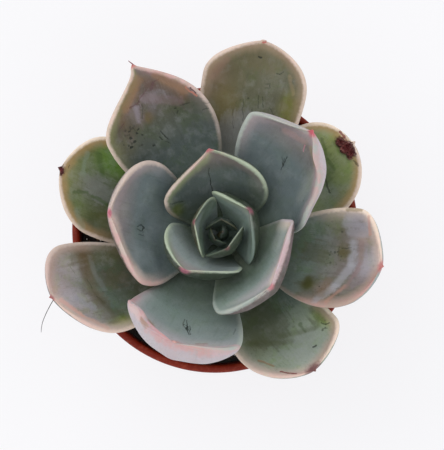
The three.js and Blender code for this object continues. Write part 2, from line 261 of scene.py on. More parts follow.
def leaf_points(leaf, number, share, across, under, relief):
    length, width, thickness = leaf["blade"]
    low, high = np.radians(leaf["rise"])
    rise = low + (high - low) * share
    height = leaf_height(number)
    out = stem_radius(height) + (length / (high - low)) * (np.sin(rise) - math.sin(low))
    out = out + LEAF_GAP * np.clip(share / 0.1, 0, 1)
    up = height + (length / (high - low)) * (math.cos(low) - np.cos(rise))

    left, right = sides(leaf, share)
    half = width / 2 * np.where(across < 0, right, left)
    off = np.abs(across)
    fold = leaf.get("fold", 0)
    chord = np.radians(leaf["curl"]) / 2 * np.minimum(1, BASE_CURL + share) * off ** (1 - fold)
    turn = np.sign(across) * chord * (2 - fold)

    depth = thickness * blend_to(BASE_THICKNESS, 1, np.minimum(1, share / FULL_THICKNESS_AT))
    depth = depth * np.minimum(1, (left + right) / 2 / THIN_BELOW) ** THINNING
    drop = MARGIN_DROP * depth
    round_off = np.maximum(0, off - MARGIN_FROM) / (1 - MARGIN_FROM)
    belly = blend_to(drop, depth, (1 - off ** BELLY[0]) ** BELLY[1])
    sink = np.where(under, belly + relief, drop * (1 - np.sqrt(1 - round_off**2)) - relief)

    side = half * across * np.cos(chord) + sink * np.sin(turn)
    lift = half * off * np.sin(chord) - sink * np.cos(turn)
    roll = math.radians(leaf.get("roll", 0)) * share
    away = side * np.cos(roll) + lift * np.sin(roll)
    above = lift * np.cos(roll) - side * np.sin(roll)
    ahead = -leaf.get("skew", 0) * away * share
    x = out + ahead * np.cos(rise) - above * np.sin(rise)
    y = away + leaf.get("swerve", 0) * share**2
    z = up + ahead * np.sin(rise) + above * np.cos(rise)
    turned = math.radians(leaf["bearing"])
    cos, sin = math.cos(turned), math.sin(turned)
    return leaned(np.stack([x * cos - y * sin, x * sin + y * cos, z], 1))


print("a leaf's left and right side at its middle:", np.round(sides(LEAVES["leaf_01"], 0.5), 2))

# %% [markdown]
# ## What each leaf looks like
#
# No two leaves of the plant are alike. The old outer ones have lost much of their bloom and are
# olive, brown and scuffed, the young ones are blue green and even. They are painted from a small
# palette, `PAINTS`. Each leaf has four paints from its foot to its end and a fifth for its outer
# side; on leaf_10 and the leaves after it, whose outer sides stand steep and deep in the rosette,
# that fifth paint is dark as painted shade. `RIMS` gives the thin pale line along each margin and
# the softer band inside it: the leaf's pale margins, with a painted highlight on the pale lines,
# and painted shade on the rims of the innermost leaves. Washes are soft areas of another colour,
# as a painter would lay them in; the pale ones on leaf_14 and leaf_15 are painted light on sides
# that lie in deep shade. Colours are written as they look on a screen, from 0 to 255.

# %% Colours of the leaves
PAINTS = {
    # shade is painted shade, for the foot of leaf_03, the outer sides of leaf_17 to leaf_19 and the
    # innermost rims
    "shade": (46, 56, 48),
    "moss": (66, 76, 64),
    "deep_sage": (86, 98, 84),
    "sage": (100, 115, 104),
    "slate": (84, 94, 92),
    "steel": (106, 118, 120),
    "grey_sage": (116, 132, 124),
    "dew": (134, 150, 144),
    "frost": (154, 166, 166),
    "pale_frost": (178, 188, 180),
    "umber": (80, 82, 66),
    "olive": (98, 98, 80),
    "straw": (134, 134, 94),
    "lichen": (158, 168, 128),
    "hay": (178, 146, 102),
    "dusk": (100, 94, 90),
    "mauve": (118, 110, 106),
    "heather": (140, 130, 132),
    "lilac": (164, 152, 154),
    "pale_lilac": (194, 186, 192),
    "tan": (156, 136, 112),
    "rose_tan": (184, 160, 148),
    "clay_pink": (210, 192, 182),
    "shell": (228, 208, 194),
    "cream": (248, 230, 212),
    "young_rim": (148, 160, 142),
    "mint": (180, 194, 170),
}
COLOURS = {  # at the foot, below the middle, above it, at the end, then the outer side
    "leaf_01": "olive lichen sage lichen mauve",
    "leaf_02": "umber umber umber straw mauve",
    "leaf_03": "shade sage young_rim young_rim young_rim",
    "leaf_04": "sage olive olive olive mauve",
    "leaf_05": "umber umber sage lilac heather",
    "leaf_06": "umber grey_sage mauve heather frost",
    "leaf_07": "sage slate umber dusk mauve",
    "leaf_08": "deep_sage dew frost pale_lilac pale_lilac",
    "leaf_09": "sage steel steel mauve pale_lilac",
    # from here on the outer side is painted dark, as painted shade, for these leaves stand steep
    # and deep in the rosette
    "leaf_10": "grey_sage steel steel heather umber",
    "leaf_11": "young_rim sage dew pale_lilac dusk",
    "leaf_12": "deep_sage slate slate mauve moss",
    "leaf_13": "deep_sage frost frost lilac moss",
    "leaf_14": "grey_sage dew dew pale_frost moss",
    "leaf_15": "frost grey_sage sage frost umber",
    "leaf_16": "grey_sage sage sage sage moss",
    "leaf_17": "sage grey_sage sage deep_sage shade",
    "leaf_18": "sage sage deep_sage deep_sage shade",
    "leaf_19": "deep_sage moss moss moss shade",
}
STOPS = (0.2, 0.5, 0.7, 0.9)
RIMS = {  # the left margin and the band inside it, then the right margin and its band
    # the cream and shell lines are pale margins with a painted highlight on them, where the rolled
    # margin catches the light
    "leaf_01": "cream hay shell hay",
    "leaf_02": "shell hay cream hay",
    "leaf_03": "cream rose_tan shell clay_pink",
    "leaf_04": "shell tan shell tan",
    "leaf_05": "shell clay_pink clay_pink rose_tan",
    "leaf_06": "cream clay_pink rose_tan rose_tan",
    "leaf_07": "shell straw clay_pink mauve",
    "leaf_08": "pale_frost frost lilac pale_lilac",
    "leaf_09": "pale_frost lilac pale_frost lilac",
    "leaf_10": "clay_pink clay_pink clay_pink lilac",
    # the left band of leaf_11 is made pale to make up for the shade it lies in, which is painted
    # light
    "leaf_11": "pale_lilac shell pale_frost dew",
    "leaf_12": "clay_pink lichen mint mauve",
    "leaf_13": "mint frost mint young_rim",
    "leaf_14": "mint young_rim grey_sage sage",
    "leaf_15": "mint young_rim young_rim deep_sage",
    "leaf_16": "young_rim deep_sage deep_sage deep_sage",
    # the dark rims of the bud leaves are painted shade
    "leaf_17": "moss umber olive shade",
    "leaf_18": "deep_sage moss umber moss",
    "leaf_19": "shade shade shade shade",
}
print("paints for the leaves:", len(PAINTS))

# %% Washes: where, x and y as seen from above, reach along and across in mm, colour, strength
WASHES = {
    "leaf_01": [
        (21.0, 14.6, 4, 3, (126, 142, 66), 0.6), (24.6, 10.6, 4, 2.5, (120, 136, 66), 0.6),
        (20.0, 10.4, 4, 2, (90, 104, 66), 0.6), (25.2, 6.4, 3, 2, (148, 148, 96), 0.5),
        (22.6, 18.3, 3, 1.5, (146, 150, 88), 0.5),
    ],
    "leaf_02": [
        (-19.4, 13.4, 4.5, 4, (98, 132, 50), 0.9), (-24.6, 12.2, 3, 3, (92, 114, 66), 0.5),
        (-27.0, 5.4, 5, 3, (104, 122, 66), 0.6), (-22.6, 7.4, 5, 4, (96, 102, 88), 0.6),
        (-19.4, 1.6, 5, 2.5, (112, 104, 66), 0.5),
    ],
    "leaf_03": [
        (21.3, -16.4, 3.4, 2.4, (128, 150, 62), 1.0), (8.8, -18.3, 6, 4, (76, 82, 60), 0.5),
        (15.5, -22.0, 4, 4, (126, 138, 126), 0.5), (19.4, -20.6, 3, 3, (126, 142, 118), 0.5),
        (7.0, -22.6, 3, 3, (104, 108, 72), 0.5),
    ],
    "leaf_04": [
        (-0.8, 31.2, 4, 3, (150, 118, 102), 0.7), (0.2, 27.6, 3, 2.5, (142, 124, 112), 0.5),
        (1.9, 24.2, 4, 3, (118, 108, 60), 0.7), (6.2, 29.4, 4, 3, (98, 98, 68), 0.5),
        (14.4, 23.2, 3.6, 2.2, (126, 128, 62), 0.8), (11.5, 31.0, 4, 3, (124, 124, 106), 0.5),
        (7.5, 17.6, 4, 5, (118, 124, 116), 0.6),
    ],
    "leaf_05": [
        (-25.4, -4.7, 1.8, 2.6, (120, 96, 68), 0.8), (-24.4, -8.6, 1.6, 2.4, (112, 98, 74), 0.7),
        (-23.4, -12.2, 1.6, 2.6, (112, 104, 78), 0.6), (-28.6, -6.6, 2.6, 3, (164, 148, 140), 0.5),
        (-27.2, -13.6, 3.4, 1.8, (166, 160, 164), 0.6), (-16.7, -17.8, 4, 1.8, (126, 132, 60), 0.9),
        (-20.6, -4.8, 4, 2, (98, 96, 66), 0.6), (-19.0, -9.6, 3.4, 3.4, (80, 86, 74), 0.6),
    ],
    "leaf_06": [
        (23.6, 1.8, 2.6, 2.4, (128, 134, 104), 0.6), (22.0, -5.4, 3, 3, (112, 118, 104), 0.4),
        (25.0, -4.1, 1.3, 1.5, (104, 96, 66), 0.8), (17.8, -10.4, 1.8, 1.5, (92, 92, 54), 0.9),
        (21.2, -11.6, 2.4, 1.6, (150, 128, 112), 0.7), (29.4, -1.6, 2.4, 1.4, (176, 156, 146), 0.6),
        (29.4, -6.6, 2.2, 2.4, (172, 164, 170), 0.6), (16.5, -1.9, 6, 4, (86, 100, 88), 0.4),
    ],
    "leaf_07": [
        (-13.0, 30.2, 3, 2, (140, 108, 74), 0.6), (-9.6, 29.4, 3, 1.6, (144, 108, 70), 0.7),
        (-6.9, 27.8, 2.6, 1.4, (150, 108, 70), 0.8), (-16.1, 27.4, 3, 1.3, (142, 104, 70), 0.7),
        (-17.3, 24.6, 3, 1.3, (138, 102, 72), 0.7), (-18.3, 22.0, 2.6, 1.3, (136, 104, 74), 0.7),
        (-12.2, 28.0, 1.6, 1.6, (100, 74, 72), 0.6), (-12.9, 21.6, 1.2, 1.1, (106, 92, 60), 0.9),
        (-15.2, 22.4, 2.6, 1.3, (142, 128, 136), 0.7), (-11.0, 24.6, 2.4, 4, (118, 108, 112), 0.5),
        (-17.6, 16.2, 3, 2.4, (112, 108, 84), 0.5),
    ],
    "leaf_08": [(-9.0, -15.8, 4, 5, (132, 152, 146), 0.4)],
    "leaf_09": [
        (18.0, 8.4, 4, 2, (152, 158, 152), 0.5), (9.0, 21.0, 3.6, 2.4, (136, 134, 144), 0.4),
        (14.6, 18.4, 3, 3, (140, 132, 140), 0.4),
    ],
    "leaf_10": [(-16.5, -4.5, 6, 3, (138, 150, 152), 0.5)],
    "leaf_11": [(12.5, -1.5, 3, 3, (178, 182, 180), 0.5)],
    "leaf_12": [(-7.4, 3.6, 1.8, 1.6, (84, 96, 46), 1.0), (8.0, 8.6, 3, 2, (96, 104, 86), 0.4)],
    # these two pale washes are painted light, on sides of leaf_14 and leaf_15 that lie in deep
    # shade
    "leaf_14": [(5.5, -4.5, 4, 2, (150, 168, 158), 0.4)],
    "leaf_15": [(-2.4, -4.0, 3, 2, (146, 168, 154), 0.5)],
}
print("washes:", sum(len(rows) for rows in WASHES.values()))

# %% [markdown]
# The other marks are fields: a number at every point of the mesh, in millimetres, that says how far
# it is to the edge of a mark. The material turns a field to a mark with a crisp and slightly ragged
# edge, much finer than the mesh. `RUBBED` is where the bloom is worn off and the bare skin shows,
# `FILM` is where it lies thick and pale, `SPECKS` is where it is pitted, `BLUSH` is pink along a
# margin, `TIPS` is the coloured point of a leaf and `SCABS` are its crusty sores. Places are given
# as they are seen from straight above, at the rim's height.
#
# Scratches come from neighbours, grit and handling. Each is a short line with a width: narrow ones
# stay crisp and cut a groove, wide ones lose their edge and stain the skin.

# %% Rubbed and filmed areas, blushes, tips and scabs
RUBBED = {
    "leaf_01": [(19.3, 12.4, 4, 4)],
    "leaf_02": [(-21.0, 4.9, 4, 5)],
    "leaf_03": [(9.7, -18.5, 5, 5), (20.5, -15.2, 3, 2.5)],
    "leaf_04": [(1.0, 30.3, 6, 4.5), (0.8, 25.0, 4.5, 3), (9.1, 33.4, 3.5, 6), (14.8, 23.1, 3, 2)],
    "leaf_05": [(-25.7, -4.9, 2, 3.5), (-20.1, -9.4, 4, 2), (-21.1, -14.5, 2, 4)],
    "leaf_06": [
        (24.9, -4.1, 1.4, 1.6), (24.6, -1.9, 0.8, 2), (18.0, -10.0, 2.2, 1.6),
        (18.9, -12.4, 4, 1.4), (18.5, -4.2, 3, 2),
    ],
    "leaf_07": [
        (-14.2, 27.8, 4.5, 9), (-6.6, 27.4, 4, 3), (-13.1, 21.8, 1, 1), (-16.9, 21.1, 3.5, 3),
    ],
}
RUB_COLOURS = {
    "leaf_01": (76, 92, 44),
    "leaf_02": (70, 84, 40),
    "leaf_03": (72, 74, 48),
    "leaf_04": (104, 92, 58),
    "leaf_05": (98, 86, 70),
    "leaf_06": (84, 80, 52),
    "leaf_07": (92, 74, 66),
}
FILM = {
    "leaf_02": [(-22.3, 7.8, 4, 3)],
    "leaf_03": [(18.4, -22.4, 4, 5)],
    "leaf_04": [(5.9, 17.8, 6, 6)],
    "leaf_05": [(-27.0, -13.2, 3.5, 2), (-27.4, -7.6, 2.4, 2.4)],
    "leaf_06": [(29.5, -6.0, 3, 3)],
    "leaf_07": [(-12.2, 25.6, 1.2, 2.4)],
}
SPECKS = {
    "leaf_03": [(20.6, -18.6, 2, 2)],
    "leaf_04": [(6.4, 25.2, 1.4, 2.4)],
    "leaf_06": [(24.0, 0.6, 3.4, 1.4), (23.0, -5.0, 2, 2), (19.6, -12.2, 2.4, 2.4)],
    "leaf_07": [(-15.6, 17.6, 3, 3), (-7.6, 23.6, 1.2, 1.8)],
    "leaf_10": [(-14.1, 0.2, 1.4, 1.6)],
}
BLUSH = {  # side, from and to along the blade, strength
    "leaf_03": [(-1, 0.70, 1.0, 0.5), (1, 0.80, 1.0, 0.5)],
    "leaf_04": [(1, 0.85, 1.0, 0.4), (-1, 0.80, 0.95, 0.4)],
    "leaf_05": [(-1, 0.80, 1.0, 0.5), (1, 0.70, 1.0, 0.5)],
    "leaf_06": [(-1, 0.50, 1.0, 0.6), (1, 0.80, 1.0, 0.5)],
    "leaf_07": [(-1, 0.65, 0.9, 0.8), (1, 0.70, 1.0, 0.4)],
    "leaf_08": [(-1, 0.55, 1.0, 0.8), (1, 0.75, 1.0, 0.6)],
    "leaf_09": [(-1, 0.60, 1.0, 0.9), (1, 0.85, 1.0, 0.6)],
    "leaf_10": [(1, 0.45, 1.0, 0.8), (-1, 0.94, 1.0, 0.4)],
    "leaf_11": [(1, 0.60, 1.0, 0.6), (-1, 0.80, 1.0, 0.5)],
    "leaf_12": [(1, 0.80, 1.0, 0.9), (-1, 0.86, 1.0, 0.8)],
    "leaf_13": [(1, 0.85, 1.0, 0.6), (-1, 0.92, 1.0, 0.5)],
    "leaf_14": [(1, 0.94, 1.0, 0.4), (-1, 0.88, 1.0, 0.5)],
    "leaf_15": [(1, 0.90, 1.0, 0.4), (-1, 0.94, 1.0, 0.3)],
    "leaf_16": [(1, 0.92, 1.0, 0.4), (-1, 0.92, 1.0, 0.4)],
}
TIPS = {  # radius in mm, colour, strength
    "leaf_01": (0.5, (150, 90, 84), 0.4),
    "leaf_02": (1.3, (84, 52, 50), 0.85),
    "leaf_03": (1.8, (112, 68, 72), 0.9),
    "leaf_04": (0.8, (206, 150, 144), 0.6),
    "leaf_05": (0.95, (170, 104, 106), 0.95),
    "leaf_06": (1.3, (194, 122, 122), 0.9),
    "leaf_07": (0.9, (206, 124, 120), 0.8),
    "leaf_08": (0.8, (214, 160, 156), 0.5),
    "leaf_09": (1.1, (206, 92, 108), 0.9),
    "leaf_10": (1.0, (206, 116, 136), 0.85),
    "leaf_11": (0.9, (206, 134, 142), 0.7),
    "leaf_12": (0.9, (202, 118, 128), 0.85),
    "leaf_13": (1.0, (186, 118, 136), 0.75),
    "leaf_14": (0.9, (150, 100, 112), 0.7),
    "leaf_15": (0.7, (156, 102, 108), 0.7),
    "leaf_16": (0.7, (132, 96, 98), 0.6),
    "leaf_17": (0.4, (84, 70, 66), 0.4),
    "leaf_18": (0.35, (78, 66, 62), 0.4),
    "leaf_19": (0.3, (70, 58, 54), 0.4),
}
SCABS = {  # x, y, half length, half width, height in mm
    "leaf_01": [
        (24.3, 17.0, 1.0, 1.1, 0.4), (25.5, 15.9, 1.5, 1.3, 0.5), (26.6, 14.7, 1.3, 0.9, 0.4),
    ],
    "leaf_02": [(-29.8, 11.4, 0.8, 0.9, 0.3)],
}
print("rubbed areas:", sum(len(rows) for rows in RUBBED.values()))

# %% Scratches and stains
RED, TAN, MAUVE = (128, 52, 50), (152, 112, 78), (92, 64, 68)
LEAF_GREEN, DARK = (66, 88, 44), (34, 40, 34)
SCRATCHES = {  # from and to, x and y as seen from above, half width, depth, colour if not dark
    "leaf_01": [
        (20.6, 17.6, 21.6, 13.6, 0.3, 0.45, LEAF_GREEN),
        (21.6, 13.6, 22.9, 11.6, 0.25, 0.4, LEAF_GREEN), (21.2, 9.6, 22.2, 7.2, 0.15, 0.6),
        (24.0, 18.8, 24.9, 17.9, 0.2, 0.8, RED), (25.0, 17.8, 27.2, 14.6, 0.16, 0.6, RED),
        (26.8, 13.4, 27.6, 12.4, 0.14, 0.5),
    ],
    "leaf_02": [
        (-27.2, 7.4, -24.6, 7.2, 0.3, 0.5, LEAF_GREEN),
        (-23.6, 6.6, -20.4, 4.6, 0.3, 0.5, LEAF_GREEN), (-28.2, 11.9, -27.9, 12.4, 0.07, 0.5),
        (-22.4, 14.4, -21.6, 10.8, 0.5, 0.45, LEAF_GREEN),
        (-24.6, 14.6, -25.4, 11.2, 0.45, 0.45, (136, 150, 132)),
        (-26.6, 3.8, -25.8, 0.6, 0.5, 0.4, (136, 148, 128)),
    ],
    "leaf_03": [
        (22.0, -17.7, 21.3, -18.1, 0.09, 0.6), (21.3, -18.1, 20.5, -17.8, 0.09, 0.6),
        (21.6, -18.8, 20.8, -18.9, 0.08, 0.5), (18.9, -22.4, 19.4, -22.2, 0.18, 0.75),
        (12.6, -27.2, 15.6, -27.6, 0.14, 0.8, RED), (8.4, -25.2, 11.2, -26.2, 0.2, 0.6, TAN),
        (16.2, -18.2, 17.4, -19.4, 0.3, 0.5, LEAF_GREEN),
        (12.6, -20.4, 19.6, -18.6, 0.45, 0.4, (84, 92, 60)),
        (6.4, -21.8, 14.6, -21.4, 0.5, 0.4, (84, 90, 60)),
        (12.4, -23.6, 17.4, -23.4, 0.6, 0.4, (146, 156, 148)),
    ],
    "leaf_04": [
        (8.4, 33.2, 8.8, 33.0, 0.16, 0.8), (11.8, 30.0, 12.4, 29.8, 0.07, 0.5),
        (12.4, 29.8, 13.2, 30.2, 0.06, 0.5), (9.8, 27.9, 10.4, 28.1, 0.08, 0.4),
        (10.5, 28.0, 10.5, 27.3, 0.08, 0.4), (10.3, 27.2, 9.7, 27.4, 0.08, 0.4),
        (8.3, 25.8, 8.4, 23.4, 0.07, 0.45), (9.2, 25.6, 9.5, 23.6, 0.07, 0.5),
        (5.5, 25.0, 5.3, 21.0, 0.08, 0.4), (7.2, 23.0, 6.4, 21.6, 0.07, 0.4),
        (3.4, 23.2, 3.5, 19.6, 0.07, 0.35), (10.6, 23.4, 11.4, 21.6, 0.07, 0.35),
        (9.3, 36.1, 9.7, 36.1, 0.22, 0.8, (184, 88, 80)),
        (14.4, 29.4, 15.2, 26.0, 0.35, 0.2, (190, 160, 124)),
        (-0.6, 29.6, 2.2, 33.0, 0.7, 0.35, (140, 108, 94)),
    ],
    "leaf_05": [
        (-24.4, -9.6, -23.6, -11.2, 0.1, 0.4), (-22.6, -12.6, -21.6, -13.8, 0.08, 0.35),
        (-21.6, -11.8, -20.4, -12.0, 0.08, 0.3),
        (-29.6, -13.6, -25.4, -16.4, 0.4, 0.6, (212, 162, 150)),
        (-25.4, -16.4, -20.8, -18.8, 0.45, 0.5, (206, 166, 150)),
        (-25.6, -5.2, -24.9, -8.8, 0.9, 0.45, (96, 82, 60)),
        (-24.7, -9.6, -21.6, -13.8, 0.5, 0.4, (88, 84, 64)),
        (-21.4, -14.2, -19.4, -16.8, 0.45, 0.35, (88, 86, 66)),
        (-24.3, -5.2, -23.2, -8.2, 0.4, 0.28, (140, 146, 144)),
        (-23.0, -8.8, -21.2, -11.4, 0.4, 0.28, (134, 140, 138)),
        (-26.4, -13.2, -23.4, -15.0, 0.7, 0.5, (146, 146, 156)),
        (-27.8, -7.0, -26.9, -8.2, 0.05, 0.4),
    ],
    "leaf_06": [
        (25.6, 2.6, 28.2, 2.5, 0.7, 0.42, (168, 168, 179)),
        (25.3, 1.2, 29.2, 1.0, 0.8, 0.45, (168, 168, 179)),
        (25.9, -0.4, 28.9, -0.6, 0.8, 0.42, (166, 166, 176)),
        (26.6, -2.6, 26.2, -6.4, 0.8, 0.5, (170, 172, 180)),
        (26.0, -7.0, 23.2, -10.6, 0.85, 0.5, (172, 174, 182)),
        (22.8, -11.0, 19.4, -13.4, 0.75, 0.48, (170, 172, 178)),
        (28.2, -2.6, 28.0, -6.2, 0.5, 0.5, (146, 122, 116)),
        (27.8, -6.8, 25.2, -11.0, 0.45, 0.5, (148, 122, 122)),
        (25.0, -10.8, 21.4, -13.8, 0.4, 0.5, (196, 150, 134)),
        (29.6, 2.6, 29.8, -0.8, 0.3, 0.5, (200, 146, 130)),
        (25.4, 4.0, 28.4, 4.4, 0.3, 0.6, (136, 118, 82)), (23.9, -3.2, 23.6, -5.0, 0.08, 0.5),
        (24.4, -3.5, 26.2, -3.3, 0.08, 0.5), (24.4, -4.3, 25.8, -4.1, 0.55, 0.7, (92, 84, 54)),
        (17.9, -9.4, 17.7, -10.8, 0.6, 0.6, (80, 84, 48)),
        (21.6, -9.8, 20.4, -12.4, 0.7, 0.5, (128, 110, 92)),
    ],
    "leaf_07": [
        (-16.3, 17.7, -16.0, 17.8, 0.16, 0.8), (-15.6, 16.9, -15.3, 17.0, 0.16, 0.8),
        (-16.2, 15.9, -15.9, 16.0, 0.22, 0.9), (-15.0, 18.5, -14.9, 18.4, 0.14, 0.7),
        (-14.1, 18.3, -13.9, 18.2, 0.14, 0.7), (-14.8, 19.2, -14.6, 19.3, 0.12, 0.7),
        (-16.6, 18.9, -16.3, 19.0, 0.14, 0.7), (-11.9, 16.2, -11.7, 16.3, 0.16, 0.7),
        (-10.4, 19.0, -9.6, 18.2, 0.1, 0.7), (-9.6, 18.2, -9.0, 17.5, 0.1, 0.7),
        (-10.6, 18.0, -10.1, 17.4, 0.09, 0.7), (-9.5, 17.0, -8.9, 16.7, 0.08, 0.5),
        (-7.5, 23.5, -7.8, 23.4, 0.14, 0.6), (-7.1, 22.9, -7.3, 22.4, 0.1, 0.6),
        (-6.7, 23.9, -5.8, 24.1, 0.08, 0.6), (-5.8, 24.1, -4.9, 24.3, 0.07, 0.6),
        (-2.3, 23.0, -1.2, 23.4, 0.07, 0.5), (-1.8, 24.2, -0.8, 24.6, 0.07, 0.4),
        (-4.6, 27.5, -3.7, 26.4, 0.08, 0.95, MAUVE),
        (-5.6, 27.5, -3.5, 25.9, 0.16, 0.6, (208, 128, 108)),
        (-17.2, 23.2, -14.8, 28.8, 0.9, 0.55, (150, 116, 84)),
        (-11.4, 29.8, -5.4, 26.9, 0.8, 0.5, (154, 116, 86)),
        (-16.2, 23.4, -14.6, 24.6, 0.12, 0.6, MAUVE), (-14.5, 24.8, -13.8, 26.2, 0.12, 0.6, MAUVE),
        (-13.7, 26.3, -13.1, 27.0, 0.1, 0.5, MAUVE), (-12.3, 27.0, -11.9, 28.3, 0.26, 0.5, MAUVE),
        (-11.6, 28.6, -10.8, 28.9, 0.12, 0.5, MAUVE),
        (-15.2, 23.4, -14.5, 21.0, 0.5, 0.5, (150, 140, 152)),
        (-13.9, 24.2, -13.8, 21.4, 0.08, 0.4), (-13.0, 22.2, -13.1, 21.4, 0.4, 0.6, (100, 88, 54)),
        (-18.2, 19.5, -17.5, 20.4, 0.07, 0.5, MAUVE),
        (-13.6, 25.4, -7.0, 24.8, 0.9, 0.3, (140, 116, 122)),
    ],
    "leaf_08": [
        (-5.85, -17.1, -6.0, -18.3, 0.07, 0.7), (-5.3, -17.3, -5.4, -18.9, 0.07, 0.75),
        (-5.6, -18.8, -4.9, -20.0, 0.09, 0.8), (-4.9, -18.3, -4.7, -20.0, 0.07, 0.75),
        (-5.4, -18.4, -5.1, -19.2, 0.16, 0.8), (3.8, -19.0, 3.6, -20.0, 0.1, 0.35),
        (-15.8, -13.8, -13.8, -16.8, 0.7, 0.5, (224, 190, 184)),
        (-12.8, -17.4, -11.4, -19.4, 0.45, 0.6, (164, 128, 100)),
        (-9.8, -20.6, -7.2, -21.6, 0.8, 0.5, (206, 150, 146)),
        (-7.2, -21.6, -2.0, -22.4, 0.6, 0.45, (200, 158, 156)),
        (-3.6, -22.0, -1.6, -22.1, 0.25, 0.6, (150, 118, 112)),
        (-1.0, -22.7, 5.4, -23.4, 0.5, 0.45, (216, 170, 176)),
    ],
    "leaf_09": [
        (12.7, 14.0, 13.0, 12.4, 0.06, 0.6), (13.2, 13.7, 12.7, 11.5, 0.08, 0.7),
        (13.8, 14.1, 13.0, 12.3, 0.1, 0.75), (17.4, 5.5, 17.4, 5.6, 0.14, 0.5),
        (13.4, 19.0, 17.2, 17.0, 0.6, 0.3, (186, 150, 146)),
        (18.4, 15.8, 19.0, 12.4, 0.35, 0.5, (146, 134, 100)),
        (17.4, 16.2, 17.2, 15.2, 0.16, 0.5, (200, 130, 148)),
    ],
    "leaf_10": [
        (-14.8, 0.6, -14.1, 0.9, 0.09, 0.6), (-14.1, 0.9, -13.4, 0.5, 0.12, 0.7),
        (-13.5, 0.4, -13.9, -0.1, 0.12, 0.7), (-14.9, 0.1, -14.2, -0.2, 0.08, 0.5),
        (-14.5, -0.9, -13.6, -1.0, 0.08, 0.5),
    ],
    "leaf_11": [(12.6, -4.4, 12.2, -9.4, 0.3, 0.35, (206, 180, 180))],
    "leaf_12": [
        (-1.2, 11.8, -0.9, 9.8, 0.05, 0.7), (-0.9, 9.8, -0.3, 7.8, 0.06, 0.85),
        (-0.3, 7.8, 0.2, 5.6, 0.07, 0.95), (-8.6, 5.0, -6.2, 5.4, 0.1, 0.5),
    ],
}
print("scratches:", sum(len(rows) for rows in SCRATCHES.values()))

# %% [markdown]
# ## Growing a leaf
#
# Each leaf starts as a UV sphere, because a sphere already has what a leaf needs: rows that run
# from the stem to the tip, one closed skin, and an upper and an under half that meet along a
# margin. Its points are then laid on the leaf rule. The relief is added on the way: slow waves in
# the flesh, a keel below, and a crusty ring round each scab. `BLUNT` cuts a tip that has worn off,
# and `NUDGES` push a few margins in or out, where a neighbour or an old knock has bent them.


# %% Screen colours as light, and the flat map of a leaf
EYE, RIM_HEIGHT = np.array([1.35, 0.96, 650]), 50
SHEEN, DARKEST, PALEST = 0.012, 0.003, 0.98


def to_light(colour):  # less the sheen that the tent's light adds again
    share = np.asarray(colour, float) / 255
    light = np.where(share <= 0.04045, share / 12.92, ((share + 0.055) / 1.055) ** 2.4)
    return np.clip(light - SHEEN, DARKEST, 1) * PALEST


def flat(leaf, share, across):
    length, width, _ = leaf["blade"]
    left, right = sides(leaf, share)
    return np.stack([width / 2 * np.where(across < 0, right, left) * across, length * share], 1)


def relative_width(leaf):
    return leaf["blade"][1] / 20


def seen(points):
    nearer = (EYE[2] - RIM_HEIGHT) / (EYE[2] - points[:, 2:])
    return EYE[:2] + (points[:, :2] - EYE[:2]) * nearer


def look_at(leaf, number):
    share, across = np.meshgrid(np.linspace(0.02, 1, 300), np.linspace(-1, 1, 161))
    share, across = share.ravel(), across.ravel()
    skin = leaf_points(leaf, number, share, across, np.zeros(share.shape, bool), 0.0)
    return seen(skin), flat(leaf, share, across)


LOOKS = {name: look_at(leaf, number) for number, (name, leaf) in enumerate(LEAVES.items())}


def on_leaf(name, x, y):
    from_above, places = LOOKS[name]
    return places[np.hypot(*(from_above - (x, y)).T).argmin()]


print("the black spot on leaf_04 is at", on_leaf("leaf_04", 8.5, 33.1).round(1), "on its flat map")


# %% Fields of one leaf
OUTSIDE, FAR, FADE = -4.0, 99.0, 0.2


def ellipses(name, u, v, rows):
    field = np.full(len(u), OUTSIDE)
    for x, y, reach_v, reach_u in rows:
        middle_u, middle_v = on_leaf(name, x, y)
        ratio = np.hypot((u - middle_u) / reach_u, (v - middle_v) / reach_v)
        field = np.maximum(field, (1 - ratio) * min(reach_u, reach_v))
    return field


def margin_distance(leaf, u, v):
    share = np.linspace(0, 1, 260)
    nearest = np.full(len(u), FAR)
    for side in (-1.0, 1.0):
        for margin_u, margin_v in flat(leaf, share, np.full(share.shape, side)):
            nearest = np.minimum(nearest, np.hypot(u - margin_u, v - margin_v))
    return nearest


def leaf_fields(name, leaf, share, across, under):
    u, v = flat(leaf, share, across).T
    blush = np.zeros(len(u))
    for side, start, end, strength in BLUSH.get(name, []):
        near = np.clip(across * side / 0.3 + 0.3, 0, 1) * np.clip((share - start) / FADE, 0, 1)
        blush = np.maximum(blush, strength * near * np.clip((end + FADE - share) / FADE, 0, 1))
    distance = margin_distance(leaf, u, v)
    marks = {"rubbed": RUBBED, "film": FILM, "specks": SPECKS, "scab": SCABS}
    fields = {
        key: np.where(under, OUTSIDE, ellipses(name, u, v, [row[:4] for row in rows.get(name, [])]))
        for key, rows in marks.items()
    }
    return u, v, dict(edge=np.where(under, -distance, distance), blush=blush, **fields)


print("fields ready")


# %% The relief of one leaf
WAVES = [(11, 0.09), (8, 0.06), (5.5, 0.04), (3.5, 0.022), (2.6, 0.014)]  # length, height in mm
KEEL, GROOVE, STILL_MARGIN, OUTER_CALM = 0.22, 0.05, 2.5, 0.6


def groove(name, u, v, row):
    (u0, v0), (u1, v1) = on_leaf(name, *row[:2]), on_leaf(name, *row[2:4])
    length = max(math.hypot(u1 - u0, v1 - v0), 1e-6)
    along = np.clip(((u - u0) * (u1 - u0) + (v - v0) * (v1 - v0)) / length**2, 0, 1)
    gone = np.hypot(u - (u0 + along * (u1 - u0)), v - (v0 + along * (v1 - v0)))
    return GROOVE * np.exp(-((gone / (row[4] + 0.2)) ** 2))


